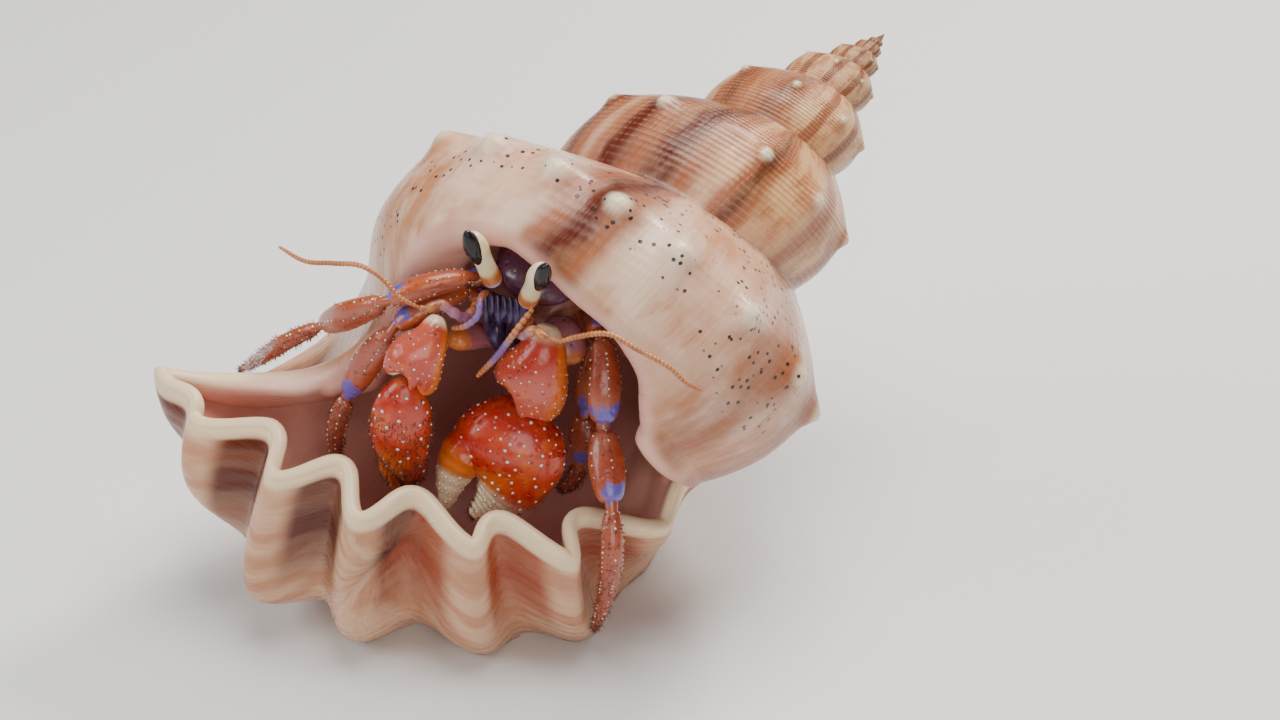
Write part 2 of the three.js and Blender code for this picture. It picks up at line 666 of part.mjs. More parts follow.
// The path, with its first point drawn back.
function drawnBack(path, extra) {
  const [first, second] = path.slice(0, 2).map(vector);
  const back = first.clone().sub(second).setLength(extra);
  return [first.add(back).toArray(), ...path.slice(1)];
}

for (const [sideName, claw] of Object.entries(CLAWS)) {
  const { side } = claw;
  addPiece(`claw_${sideName}_arm`, limb({ ...claw.arm, side }), CRAB_ORANGE);
  const wrist = limb({ ...claw.wrist, side, sides: 10, rings: 8, blunt: 5 });
  addPiece(`claw_${sideName}_wrist`, wrist, CRAB_ORANGE);
  const socket = limb({
    path: drawnBack(claw.finger.path, SOCKET_EXTRA),
    widths: claw.finger.widths.map((value) => value + FINGER_GAP),
    depths: claw.finger.depths.map((value) => value + FINGER_GAP),
    side,
    rings: 6,
    blunt: 2.8,
  });
  const hand = without(limb({ ...claw.hand, side, sides: 10, rings: 11 }), socket);
  addPiece(`claw_${sideName}_hand`, hand, CLAW_RED);
  const fingerColour = sideName === "left" ? CLAW_CREAM : CLAW_RED;
  addPiece(`claw_${sideName}_finger`, limb({ ...claw.finger, side, rings: 6, blunt: 2.6 }), fingerColour);
}

// ---- walking legs ----
// Two pairs. Each leg is an upper arm, a wrist, a shin and a clawed toe; sizes are half widths.
const LEGS = {
  front_left: {
    merus: [[18.4, 19.4, 39], [18.7, 16, 39.8], [19, 12.2, 40.8]],
    carpus: [[19.1, 10.5, 40.9], [19.4, 7.6, 36.9], [19.3, 5.9, 31.9]],
    propodus: [[19.3, 5.4, 30.9], [19.8, 2.1, 27.5], [20.3, -0.8, 24.9]],
    dactyl: [[20.4, -1.5, 24], [20.4, -3.7, 19.9], [19.7, -1.6, 11.6], [18.1, 1.4, 2.9]],
    size: 1,
    side: [1, 0, 0],
  },
  hind_left: {
    merus: [[15.6, 25.6, 36.2], [17.2, 23.4, 36.2], [18.4, 20.9, 35.3]],
    carpus: [[18.5, 19.8, 34.4], [17.7, 18.2, 30.6], [17, 17, 25.8]],
    propodus: [[16.8, 16.6, 24.8], [16.5, 16.4, 21.4], [16.3, 15.7, 18.7]],
    dactyl: [[16.1, 15.3, 17.7], [15.3, 15.4, 15.7], [13.6, 15.8, 13.8]],
    size: 0.8,
    side: [1, 0, 0],
  },
  front_right: {
    merus: [[7, 21.8, 42.2], [5.2, 17.6, 45.4], [4, 13.6, 47.8]],
    carpus: [[3.5, 11.2, 49.4], [-1.1, 10.3, 48.8], [-5.9, 10.1, 46.9]],
    propodus: [[-7.1, 10.8, 45.9], [-11.3, 14, 42], [-14.9, 17.9, 37.9]],
    dactyl: [[-16, 18.8, 36.8], [-20.5, 21.2, 32.8], [-25, 27.7, 25.5], [-28, 31.4, 21.2]],
    size: 0.86,
    side: [0.4, -0.5, 0.77],
  },
  hind_right: {
    merus: [[7, 22.6, 37.2], [5.2, 19, 40.4], [3.8, 15.8, 43.9]],
    carpus: [[3, 14, 45.6], [-1.1, 11.5, 45.3], [-5.4, 9.6, 43.5]],
    propodus: [[-6.3, 9.3, 42.5], [-9.3, 10.6, 37.2], [-11.8, 11.7, 32]],
    dactyl: [[-12.3, 11.8, 30.9], [-13.6, 12.4, 26.6], [-14.1, 13.4, 21.9], [-14.2, 14.2, 19.2]],
    size: 0.86,
    side: [0.8, -0.4, 0.4],
  },
};
const LEG_HALF_WIDTHS = {
  merus: [1.5, 1.9, 1.6],
  carpus: [1.5, 1.9, 2.1, 1.8],
  propodus: [1.7, 2.2, 1.7],
  dactyl: [1.4, 1.35, 1.1, 0.5],
};
const LEG_FLATNESS = 0.84; // a leg's depth as a share of its width
for (const [legName, leg] of Object.entries(LEGS)) {
  for (const [segment, half] of Object.entries(LEG_HALF_WIDTHS)) {
    const widths = half.map((value) => value * leg.size);
    const depths = widths.map((value) => value * LEG_FLATNESS);
    const piece = limb({ path: leg[segment], widths, depths, side: leg.side, rings: 6, blunt: 4 });
    addPiece(`leg_${legName}_${segment}`, piece, CRAB_ORANGE);
  }
}

// The two last pairs are tiny and grip the inside of the shell, out of sight.
const GRIPPERS = {
  fourth_left: [[18.4, 20.4, 44.2], [20.2, 17.4, 44.8], [21.2, 15.2, 47]],
  fourth_right: [[9.4, 22.4, 45.4], [7.4, 22.4, 47], [7.4, 21.4, 49]],
  fifth_left: [[20, 24, 42.4], [22.4, 21.8, 43.4], [23.2, 20, 46]],
  fifth_right: [[12.4, 26, 44.4], [10.6, 26.2, 46.4], [10.8, 25.2, 48.6]],
};
for (const [name, path] of Object.entries(GRIPPERS)) {
  const gripper = limb({ path, widths: [0.9, 0.85, 0.6], depths: [0.8, 0.75, 0.5], sides: 6, rings: 6 });
  addPiece(`leg_${name}`, gripper, CRAB_ORANGE);
}

// The whole animal stands with the middle of its own box over the origin.
const box = new THREE.Box3().setFromObject(crab);
const middle = box.getCenter(new THREE.Vector3());
crab.position.set(-middle.x, -middle.y, -box.min.z);

export default crab;
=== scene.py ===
"""A hermit crab in its sea shell, standing on a pale floor. Sizes are in millimetres unless a
comment says otherwise."""

import math

import bpy
import numpy as np
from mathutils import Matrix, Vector


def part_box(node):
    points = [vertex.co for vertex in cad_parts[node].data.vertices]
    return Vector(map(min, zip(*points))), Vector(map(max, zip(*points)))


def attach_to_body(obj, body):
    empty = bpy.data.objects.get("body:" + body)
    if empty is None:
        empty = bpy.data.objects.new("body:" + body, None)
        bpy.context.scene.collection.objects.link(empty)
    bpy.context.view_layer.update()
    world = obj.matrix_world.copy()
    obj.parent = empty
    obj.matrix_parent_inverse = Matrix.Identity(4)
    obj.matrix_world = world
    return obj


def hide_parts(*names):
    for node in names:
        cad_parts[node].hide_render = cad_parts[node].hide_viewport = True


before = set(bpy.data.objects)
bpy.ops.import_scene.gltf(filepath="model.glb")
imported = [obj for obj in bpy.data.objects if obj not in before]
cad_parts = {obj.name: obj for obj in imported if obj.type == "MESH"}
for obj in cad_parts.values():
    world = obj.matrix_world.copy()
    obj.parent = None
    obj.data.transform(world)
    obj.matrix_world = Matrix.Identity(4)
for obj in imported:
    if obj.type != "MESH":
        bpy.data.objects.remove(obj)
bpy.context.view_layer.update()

# ---- camera ----
# The camera looks down at the crab's front, square to the X axis. Shapes below are written in a
# working frame whose origin lies under the shell's mouth. APEX is the place of the shell's point
# there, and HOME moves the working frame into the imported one.
APEX = np.array([55.345, 55.8, 57.182])
_, shell_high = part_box("shell")
HOME = np.array([shell_high[0] * 1000 - APEX[0], shell_high[1] * 1000 - APEX[1], 0.0])
CAMERA_TILT = math.radians(35.5)
CAMERA_PLACE = np.array([23.75, -286.2, 249.4])

camera_data = bpy.data.cameras.new("camera")
camera_data.lens = 85
camera_data.sensor_width = 36
camera_data.clip_start = 0.01
camera = bpy.data.objects.new("camera", camera_data)
camera.location = Vector((CAMERA_PLACE + HOME) / 1000)
camera.rotation_euler = (math.pi / 2 - CAMERA_TILT, 0, 0)
bpy.context.collection.objects.link(camera)
bpy.context.scene.camera = camera

# ---- floor and light ----
# A plain pale floor, three large soft lamps and a smaller one for the highlights.
FLOOR_HALF = 1500.0
WORLD_STRENGTH = 0.14


class Wire:
    """A shader socket that can be added, multiplied and compared like a number."""

    def __init__(self, tree, socket):
        self.tree = tree
        self.socket = socket

    def node(self, kind, output=0, settings=(), **inputs):
        """Any shader node; inputs are given by name, with spaces as underscores, or as in0, in1."""
        made = self.tree.nodes.new(kind)
        for name, value in dict(settings).items():
            setattr(made, name, value)
        for name, value in inputs.items():
            slot = int(name[2:]) if name[:2] == "in" and name[2:].isdigit() else name.replace("_", " ")
            if isinstance(value, Wire):
                self.tree.links.new(value.socket, made.inputs[slot])
            else:
                made.inputs[slot].default_value = value
        return Wire(self.tree, made.outputs[output])

    def maths(self, operation, *others):
        """The operation on this value and, where it takes one, another."""
        inputs = {f"in{i}": value for i, value in enumerate((self, *others))}
        return self.node("ShaderNodeMath", settings={"operation": operation}, **inputs)

    def __add__(self, other):
        return self.maths("ADD", other)

    def __sub__(self, other):
        return self.maths("SUBTRACT", other)

    def __mul__(self, other):
        return self.maths("MULTIPLY", other)

    def __truediv__(self, other):
        return self.maths("DIVIDE", other)

    def ramp(self, low, high, start=0.0, end=1.0):
        """Rises smoothly from start to end as the value goes from low to high."""
        return self.node("ShaderNodeMapRange", settings={"interpolation_type": "SMOOTHSTEP"},
                         in0=self, in1=low, in2=high, in3=start, in4=end)

    def noise(self, scale, detail=3.0, roughness=0.55):
        """Noise read at this vector, from 0 to 1."""
        return self.node("ShaderNodeTexNoise", Vector=self, Scale=scale, Detail=detail,
                         Roughness=roughness)

    def cells(self, scale):
        """Distance to the nearest of many scattered points, read at this vector."""
        return self.node("ShaderNodeTexVoronoi", "Distance", Vector=self, Scale=scale)


class Paint:
    """A principled material being built: holds the node tree, its shader and common inputs."""

    def __init__(self, name, roughness, **constants):
        self.material = bpy.data.materials.new(name)
        self.material.use_nodes = True
        self.tree = self.material.node_tree
        self.shader = self.tree.nodes["Principled BSDF"]
        self.shader.inputs["Roughness"].default_value = roughness
        for key, value in constants.items():
            self.shader.inputs[key.replace("_", " ")].default_value = value
        coordinates = self.tree.nodes.new("ShaderNodeTexCoord")
        self.place = Wire(self.tree, coordinates.outputs["Object"])

    def value(self, name):
        """A number stored on the mesh's points."""
        return self.place.node("ShaderNodeAttribute", "Fac", settings={"attribute_name": name})

    def blend(self, share, first, second):
        """Mixes two colours by a share from 0 to 1."""
        made = self.tree.nodes.new("ShaderNodeMix")
        made.data_type = "RGBA"
        for index, value in ((0, share), (6, first), (7, second)):
            if isinstance(value, Wire):
                self.tree.links.new(value.socket, made.inputs[index])
            else:
                made.inputs[index].default_value = value
        return Wire(self.tree, made.outputs[2])

    def streaks(self, x, y, z, detail, roughness):
        """Noise drawn out into streaks, by reading it at stretched coordinates."""
        stretched = self.place.node("ShaderNodeCombineXYZ", X=x, Y=y, Z=z)
        return stretched.noise(1.0, detail, roughness)

    def finish(self, colour, roughness=None, height=None, depth=0.0001):
        """Sends the colour, the roughness and a height of depth metres for each 1 to the shader."""
        self.tree.links.new(colour.socket, self.shader.inputs["Base Color"])
        if roughness is not None:
            self.tree.links.new(roughness.socket, self.shader.inputs["Roughness"])
        if height is not None:
            bump = self.place.node("ShaderNodeBump", Height=height, Distance=depth, Strength=1.0)
            self.tree.links.new(bump.socket, self.shader.inputs["Normal"])
        return self.material


def mesh_object(name, points, faces, material, values=()):
    """Makes a smooth mesh from points in the working frame; values are stored per point."""
    mesh = bpy.data.meshes.new(name)
    points = (np.asarray(points, float).reshape(-1, 3) + HOME) / 1000
    groups = [np.asarray(group, np.int32) for group in (faces if isinstance(faces, list) else [faces])]
    corners = np.concatenate([np.full(len(group), group.shape[1], np.int32) for group in groups])
    indices = np.concatenate([group.ravel() for group in groups])
    mesh.vertices.add(len(points))
    mesh.vertices.foreach_set("co", points.astype(np.float32).ravel())
    mesh.loops.add(len(indices))
    mesh.loops.foreach_set("vertex_index", indices)
    mesh.polygons.add(len(corners))
    starts = np.concatenate([[0], np.cumsum(corners)[:-1]]).astype(np.int32)
    mesh.polygons.foreach_set("loop_start", starts)
    mesh.polygons.foreach_set("use_smooth", np.full(len(corners), True))
    mesh.update(calc_edges=True)
    for key, value in dict(values).items():
        layer = mesh.attributes.new(key, "FLOAT", "POINT")
        layer.data.foreach_set("value", np.asarray(value, np.float32).ravel())
    made = bpy.data.objects.new(name, mesh)
    mesh.materials.append(material)
    bpy.context.collection.objects.link(made)
    return made


floor_paint = Paint("floor_paint", roughness=0.75)
floor_grain = floor_paint.place.noise(600.0)
floor_colour = floor_paint.blend(floor_grain, (0.76, 0.75, 0.735, 1), (0.80, 0.79, 0.775, 1))
floor_corners = [(-FLOOR_HALF, -FLOOR_HALF, 0), (FLOOR_HALF, -FLOOR_HALF, 0),
                 (FLOOR_HALF, FLOOR_HALF, 0), (-FLOOR_HALF, FLOOR_HALF, 0)]
floor = mesh_object("floor", floor_corners, np.array([(0, 1, 2, 3)]),
                    floor_paint.finish(floor_colour))


def soft_lamp(name, place, aim, size, power, colour):
    """A square area lamp in the working frame, aimed at a point. Its power is in watts."""
    data = bpy.data.lights.new(name, "AREA")
    data.size = size / 1000
    data.energy = power
    data.color = colour
    lamp = bpy.data.objects.new(name, data)
    where = Vector((np.array(place) + HOME) / 1000)
    target = Vector((np.array(aim) + HOME) / 1000)
    lamp.location = where
    lamp.rotation_euler = (target - where).to_track_quat("-Z", "Y").to_euler()
    bpy.context.collection.objects.link(lamp)


soft_lamp("sky_lamp", (60, 40, 420), (0, 10, 20), 260, 2.0, (1.0, 0.98, 0.95))
soft_lamp("left_lamp", (-330, -60, 240), (0, 10, 25), 240, 0.95, (0.92, 0.96, 1.0))
soft_lamp("front_lamp", (60, -380, 200), (0, 10, 20), 260, 0.7, (1.0, 0.97, 0.93))
soft_lamp("highlight_lamp", (200, 250, 300), (10, 10, 30), 120, 1.5, (1.0, 0.98, 0.95))
world = bpy.context.scene.world or bpy.data.worlds.new("world")
bpy.context.scene.world = world
world.use_nodes = True
background = world.node_tree.nodes["Background"]
background.inputs["Color"].default_value = (0.80, 0.84, 0.90, 1)
background.inputs["Strength"].default_value = WORLD_STRENGTH

# ---- the shell ----
# A tall whorled shell with low knobs on its shoulder and a broad fluted lip. It is a surface wound
# round an axis: columns run from the point down the wall, over the lip and into the throat.
# The directions from the mouth to the shell's point, and of 0 and -90 degrees round that axis.
AXIS = np.array([0.66332, 0.62166, 0.41658])
FRONT = np.array([0.1817, -0.67381, 0.71621])
RIGHT = np.array([0.72594, -0.39938, -0.55992])
# Degrees round the axis of the first column, the arch's last column and the last column.
FIRST_TURN, ARCH_END, LAST_TURN = -95.0, 101.0, 265.0
SHOULDER_RADIUS = 25.1
# Each turn multiplies the radius by GROWTH, but the last one only by GROWTH to this power.
GROWTH = 1.785
LAST_WHORL_SLOWDOWN = 0.626
# Distances below the point and the knobs' height and width, in radii of the whorl's shoulder.
SHOULDER_HEIGHT = 1.78
SUTURE_HEIGHT = 2.4
KNOB_HEIGHT = 0.066
KNOB_WIDTH = 0.13
WHORLS = 9
TIP_SLOPE = 0.42
SUTURE = SUTURE_HEIGHT * SHOULDER_RADIUS
LIP_THICKNESS = 1.9
FLUTE_DEPTH = 2.4
# Where the wall comes this near the floor, it stands on it.
FLOOR_CONTACT = 0.25
# Rounds of sideways smoothing at the joint of arch and lip, and their reach in columns.
JOINT_ROUNDS, JOINT_REACH = 60, 9.0
# Rounds that even out the rolled edge from column to column.
EDGE_ROUNDS = 12
# How far inside the belly's pulling points those of the inner wall lie.
WALL_INSET = 3.6
# The knobs' turns counted back from the mouth; past the last of these they are evenly spaced.
KNOB_TURNS = [-0.53, -0.588, -0.643, -0.691, -0.741, -0.804, -0.875, -0.95, -1.04, -1.13, -1.24,
              -1.35, -1.44, -1.52, -1.605, -1.736, -1.823]
FIRST_EVEN_KNOB = -1.93
KNOB_STEP = 0.125

# Degrees round the axis, distance below the point, radius of the rolled edge, degrees it rolls
# through, and the degrees at which it meets the throat.
ARCH = np.array([
    (-95, 60, 0.9, 150, -95), (-85, 61, 1.2, 130, -88), (-70, 62.6, 1.6, 125, -72),
    (-55, 64, 2, 130, -58), (-40, 64.2, 2.2, 150, -42), (-28, 62.6, 2.4, 160, -30),
    (-18, 60.6, 2.4, 160, -18), (-9, 59.8, 2.4, 160, -6), (14, 59.8, 2.4, 160, 22),
    (24, 59.4, 2.5, 155, 36), (33, 59.4, 2.6, 150, 52), (41, 60, 3, 140, 68),
    (50, 62, 3.6, 105, 82), (60, 66, 4.5, 55, 94), (72, 72.5, 4, 25, 104),
    (86, 76.5, 3, 25, 113), (99, 79.5, 2.5, 70, 120)], float)

# Degrees round the axis, distance below the point where the wall is left, the rim's place, the
# belly point that pulls the wall outward, and the degrees at which it meets the throat.
LIP = np.array([
    (111, 68, -18.3, 20.8, 28.2, -17.5, 25, 17, 124), (118, 66, -25.8, 21, 27.8, -25.5, 24.5, 13, 130),
    (126, 64, -31.2, 20.5, 28.5, -32, 23.2, 14, 136), (134, 62.5, -36.6, 19.3, 30, -37.5, 21, 18, 142),
    (141, 62, -34.3, 15.4, 29.5, -39, 11, 13, 148), (148, 62, -28.7, 11.4, 29, -37, 3.5, 6, 153),
    (155, 62, -23.7, 7.4, 28, -36, -4, -6, 159), (162, 62, -18.8, 4, 27, -32, -7, -12, 166),
    (170, 62, -14.1, 1.5, 26, -24.5, -8.5, -14.5, 174), (178, 62, -9.4, -0.9, 25, -16.5, -9, -15, 182),
    (187, 62, -3.2, -2.7, 24, -7.5, -8.5, -14, 191), (197, 62, 2.7, -3.1, 22.5, 2, -8, -13, 200),
    (209, 62, 8.4, -4, 21.5, 9, -6, -12, 211), (221, 62, 14.1, -3.5, 20, 14, 0, -8, 222),
    (234, 61, 18.9, 0.9, 18.5, 16.5, 8, -2, 235), (250, 60, 26.3, 6.4, 16, 25.5, 12, 6, 250),
    (265, 59.5, 30.6, 10.1, 19.5, 31, 12, 16, 265)], float)
MOUTH_CENTRE = np.array([-4.0, 14.0, 24.0])
FLUTE_START = 5
ARCH_COLUMNS, LIP_COLUMNS = 130, 224
WHORL_ROWS, SPIRE_WHORLS = 28, 6
BELLY_ROWS, EDGE_ROWS, THROAT_ROWS = 40, 8, 34


def smooth_step(value, low, high):
    """3 t squared minus 2 t cubed, where t runs from 0 at low to 1 at high."""
    t = np.clip((value - low) / (high - low), 0, 1)
    return t * t * (3 - 2 * t)


def curve_at(position, knots, values):
    """A smooth cubic through values at knots, held past both ends. Each inner slope is the mean of
    the two neighbouring slopes, weighted by the other side's step."""
    knots = np.asarray(knots, float)
    values = np.asarray(values, float)
    step = np.diff(knots)
    slope = (np.diff(values, axis=0).T / step).T
    tangent = np.zeros_like(values)
    tangent[1:-1] = ((slope[:-1].T * step[1:] + slope[1:].T * step[:-1]) / (step[1:] + step[:-1])).T
    tangent[0], tangent[-1] = slope[0], slope[-1]
    at = np.clip(position, knots[0], knots[-1])
    i = np.clip(np.searchsorted(knots, at, side="right") - 1, 0, len(knots) - 2)
    h = step[i]
    u = (at - knots[i]) / h
    if values.ndim > 1:
        h, u = h[..., None], u[..., None]
    start = values[i] * (1 + 2 * u) * (1 - u) ** 2 + tangent[i] * h * u * (1 - u) ** 2
    return start + values[i + 1] * u * u * (3 - 2 * u) + tangent[i + 1] * h * u * u * (u - 1)


def unit(vectors):
    """Each vector over its own length."""
    return vectors / np.maximum(np.linalg.norm(vectors, axis=-1, keepdims=True), 1e-9)


def bezier(t, a, b, c, d):
    """The cubic with ends a and d and pulls b and c, at share t."""
    return (1 - t) ** 3 * a + 3 * t * (1 - t) ** 2 * b + 3 * t * t * (1 - t) * c + t ** 3 * d


def round_axis(radius, degrees, distance):
    """The point at this radius, degrees round the axis and distance below the shell's point."""
    radius, angle, distance = np.broadcast_arrays(radius, np.radians(degrees), distance)
    across = np.cos(angle)[..., None] * FRONT - np.sin(angle)[..., None] * RIGHT
    return APEX - AXIS * distance[..., None] + radius[..., None] * across


def shoulder_radius(turn):
    """First radius times the growth to the power of the turns, slowed on the last whorl."""
    return SHOULDER_RADIUS * GROWTH ** np.where(turn < -1, turn + 1, (turn + 1) * LAST_WHORL_SLOWDOWN)


def shell_wall(degrees, distance):
    """The wall's radius, and how much of a knob stands there. Each whorl widens from the suture
    to the shoulder by 1 - (1 - share)^1.5, and goes from there to the next suture's radius by
    share^1.6, with a bulge of 0.05 sin(pi share) of its widest radius."""
    degrees, distance = np.broadcast_arrays(np.asarray(degrees, float), np.asarray(distance, float))
    mouth_turn = (degrees - LAST_TURN) / 360
    radius = distance * TIP_SLOPE
    turn_at = mouth_turn - WHORLS
    for whorl in range(WHORLS, -1, -1):
        turn = mouth_turn - whorl
        size, before = shoulder_radius(turn), shoulder_radius(turn - 1)
        near_mouth = smooth_step(turn, -0.3, 0)
        top_radius, top = before * (0.985 - 0.12 * near_mouth), SUTURE_HEIGHT * before
        widest = size * (1 - 0.36 * smooth_step(turn, -0.13, 0))
        middle = SHOULDER_HEIGHT * size + 5 * near_mouth
        low_radius, low = size * (0.985 - 0.12 * smooth_step(turn + 1, -0.3, 0)), SUTURE_HEIGHT * size
        rise = np.clip((distance - top) / (middle - top), 0, 1)
        fall = np.clip((distance - middle) / (low - middle), 0, 1)
        upper = top_radius + (widest - top_radius) * (1 - (1 - rise) ** 1.5)
        lower = widest + (low_radius - widest) * fall ** 1.6 + 0.05 * widest * np.sin(np.pi * fall)
        here = distance >= top
        radius = np.where(here, np.where(distance < middle, upper, lower), radius)
        turn_at = np.where(here, turn, turn_at)
    # low down, the wall is narrower on the crab's right
    crab_right = smooth_step(degrees, 35, 70) * (1 - smooth_step(degrees, 150, 200))
    radius = radius * (1 - 0.3 * crab_right * smooth_step(distance, 63, 84))
    size = shoulder_radius(turn_at)
    knobs = np.zeros(degrees.shape)
    for knob in KNOB_TURNS + list(np.arange(FIRST_EVEN_KNOB, -WHORLS, -KNOB_STEP)):
        across = (turn_at - knob) * 2 * np.pi * radius
        along = distance - SHOULDER_HEIGHT * shoulder_radius(np.float64(knob))
        near = (across ** 2 + along ** 2) / (KNOB_WIDTH * size) ** 2
        fold = np.exp(-(across / (0.8 * KNOB_WIDTH * size)) ** 2
                      - ((along - 0.14 * size) / (0.3 * size)) ** 2)
        knobs += 0.3 * np.exp(-near) + 0.8 * np.exp(-4.2 * near) + 0.22 * fold
    return radius + KNOB_HEIGHT * size * knobs, knobs


def wall_rows(degrees, distance):
    """Points of the wall, with the knob value kept fourth in the last axis."""
    radius, knobs = shell_wall(degrees, distance)
    return np.concatenate([round_axis(radius, degrees, distance), knobs[..., None]], -1)


def shell_grid():
    """All the shell's points as columns by rows, with the values that its colours follow."""
    arch_degrees = np.linspace(FIRST_TURN, ARCH_END, ARCH_COLUMNS + 1)
    place = np.linspace(0, len(LIP) - 1, LIP_COLUMNS + 1)
    lip = curve_at(place, np.arange(len(LIP)), LIP)
    arch = curve_at(arch_degrees, ARCH[:, 0], ARCH)
    belly_share = np.linspace(0, 1, BELLY_ROWS + 1)[1:]

    def spire_rows(degrees, start):
        """Rows that follow the suture, equal shares of a whorl apart, then rows from it to start."""
        count = SPIRE_WHORLS * WHORL_ROWS
        row = np.arange(count + 1)[None, :]
        turn = (degrees[:, None] - LAST_TURN) / 360
        along = SUTURE * GROWTH ** (turn + (row - count) / WHORL_ROWS)
        excess = np.maximum(along[:, -1] - (start - 0.4), 0)[:, None]
        along = along - excess * smooth_step(row, count - 8, count)
        rest = (start / along[:, -1])[:, None] ** (np.arange(1, WHORL_ROWS + 1)[None, :] / WHORL_ROWS)
        return wall_rows(degrees[:, None], np.concatenate([along, along[:, -1:] * rest], 1))

    # under the arch the wall runs straight to the edge
    arch_start = arch[:, 1] - 0.6 - 5.4 * smooth_step(arch_degrees, FIRST_TURN, -60)
    arch_rows = spire_rows(arch_degrees, arch_start)
    last = arch_start[:, None] + (arch[:, 1] - arch_start)[:, None] * belly_share[None, :]
    arch_rows = np.concatenate([arch_rows, wall_rows(arch_degrees[:, None], last)], 1)
    # under the lip it swells through the belly to the rim, and the flutes grow toward the rim
    degrees, start, rim, belly = lip[:, 0], lip[:, 1], lip[:, 2:5], lip[:, 5:8]
    rows = spire_rows(degrees, start)
    base = rows[:, -1, :3]
    heading = unit(base - wall_rows(degrees, start - 2)[:, :3])
    lead = base + heading * (0.36 * np.linalg.norm(rim - base, axis=1))[:, None]
    fluted = smooth_step(place, 3.6, 5)
    depth = FLUTE_DEPTH * fluted * (1 - 0.75 * smooth_step(place, 14.2, 15.6))
    wave = np.cos((place - FLUTE_START) * np.pi)
    outward = (rim - MOUTH_CENTRE) * (1, 1, 0)
    outward = unit(outward) + (0, 0, -0.5)
    t = belly_share[None, :, None]
    swell = bezier(t, base[:, None], lead[:, None], belly[:, None], rim[:, None])
    fade = smooth_step(t, 0.25, 1) ** 0.8
    swell = swell + (outward * (depth * wave)[:, None])[:, None] * fade
    knobs = np.broadcast_to(rows[:, -1:, 3:], swell.shape[:2] + (1,))
    lip_rows = np.concatenate([rows, np.concatenate([swell, knobs], -1)], 1)
    outer = np.concatenate([arch_rows, lip_rows[:-1]])
    count = len(outer)
    # where the arch becomes the lip, the wall is smoothed sideways
    nearness = np.exp(-((np.arange(count) - ARCH_COLUMNS) / JOINT_REACH) ** 2)[:, None, None]
    for _ in range(JOINT_ROUNDS):
        mean = (np.roll(outer, 1, 0) + np.roll(outer, -1, 0)) / 2
        outer[1:-1] = (outer + (mean - outer) * nearness * 0.9)[1:-1]
    outer[..., 2] = np.where(outer[..., 2] < FLOOR_CONTACT, 0, outer[..., 2])
    is_lip = np.arange(count) > ARCH_COLUMNS
    flute = np.concatenate([np.zeros(ARCH_COLUMNS + 1), wave * fluted])[:-1]
    throat = np.concatenate([arch[:, 4], lip[:, 8]])[:-1]

    # the edge rolls over and the wall runs on down the inside
    edge = outer[:, -1, :3]
    ahead = unit(edge - outer[:, -3, :3])
    turned = ahead.copy()
    for joint, width in ((ARCH_COLUMNS, 0.05 * count), (0, 0.03 * count)):
        reach = int(width)
        steps = np.arange(-reach, reach + 1)
        share = smooth_step(steps, -reach, reach)[:, None]
        mixed = ahead[(joint - reach) % count] * (1 - share) + ahead[(joint + reach) % count] * share
        turned[(joint + steps) % count] = unit(mixed)
    around = unit(np.roll(edge, -1, 0) - np.roll(edge, 1, 0))
    inward = unit(np.cross(turned, around))
    broad = 1 - smooth_step(place[:-1], 0, 2.4)
    roll = np.concatenate([arch[:, 2], LIP_THICKNESS / 2 + 1.5 * broad])
    angle = np.radians(np.concatenate([arch[:, 3], 178 - 60 * broad]))
    for _ in range(EDGE_ROUNDS):
        roll = (np.roll(roll, 1) + 2 * roll + np.roll(roll, -1)) / 4
        angle = (np.roll(angle, 1) + 2 * angle + np.roll(angle, -1)) / 4
    part = angle[:, None] * np.linspace(0, 1, EDGE_ROWS + 1)[None, 1:]
    fold = edge[:, None] + roll[:, None, None] * (np.sin(part)[..., None] * turned[:, None]
                                                 + (1 - np.cos(part))[..., None] * inward[:, None])
    begin = fold[:, -1]
    onward = np.cos(angle)[:, None] * turned + np.sin(angle)[:, None] * inward
    ring_degrees = [-95, -60, 0, 60, 100, 140, 180, 220, 265]
    ring_radius = curve_at(throat, ring_degrees, [14, 18, 21, 21, 20, 20, 19, 17, 14])
    ring_distance = curve_at(throat, ring_degrees, [52, 52, 50, 50, 54, 56, 56, 54, 52])
    end = round_axis(ring_radius, throat, ring_distance)
    arch_knots = [-95, 0, 40, 60, 90, 101]
    deep = round_axis(4.0, 180.0, 76.0)
    belly_all = np.concatenate([np.zeros((ARCH_COLUMNS + 1, 3)), belly[:-1]])
    inset = belly_all + unit(deep - belly_all) * WALL_INSET
    arch_pull = np.zeros(count)
    arch_pull[: ARCH_COLUMNS + 1] = curve_at(arch_degrees, arch_knots, [4, 4, 6, 12, 12, 6])
    run_in = np.full(count, 9.0)
    run_in[: ARCH_COLUMNS + 1] = curve_at(arch_degrees, arch_knots, [3, 3, 4, 10, 12, 12])
    pull = np.where(is_lip[:, None], inset, begin + onward * arch_pull[:, None])
    near = round_axis(ring_radius + 1, throat, ring_distance + run_in)
    t = np.linspace(0, 1, THROAT_ROWS + 1)[None, 1:, None]
    inside = bezier(t, begin[:, None], pull[:, None], near[:, None], end[:, None])
    dome = [round_axis(ring_radius * r, throat, ring_distance - d)[:, None]
            for r, d in ((0.92, 3), (0.8, 5.5), (0.66, 8), (0.5, 11), (0.36, 14), (0.18, 16.2))]
    inner = np.concatenate([fold, inside, *dome], 1)
    grid = np.concatenate([outer[..., :3], inner], 1)

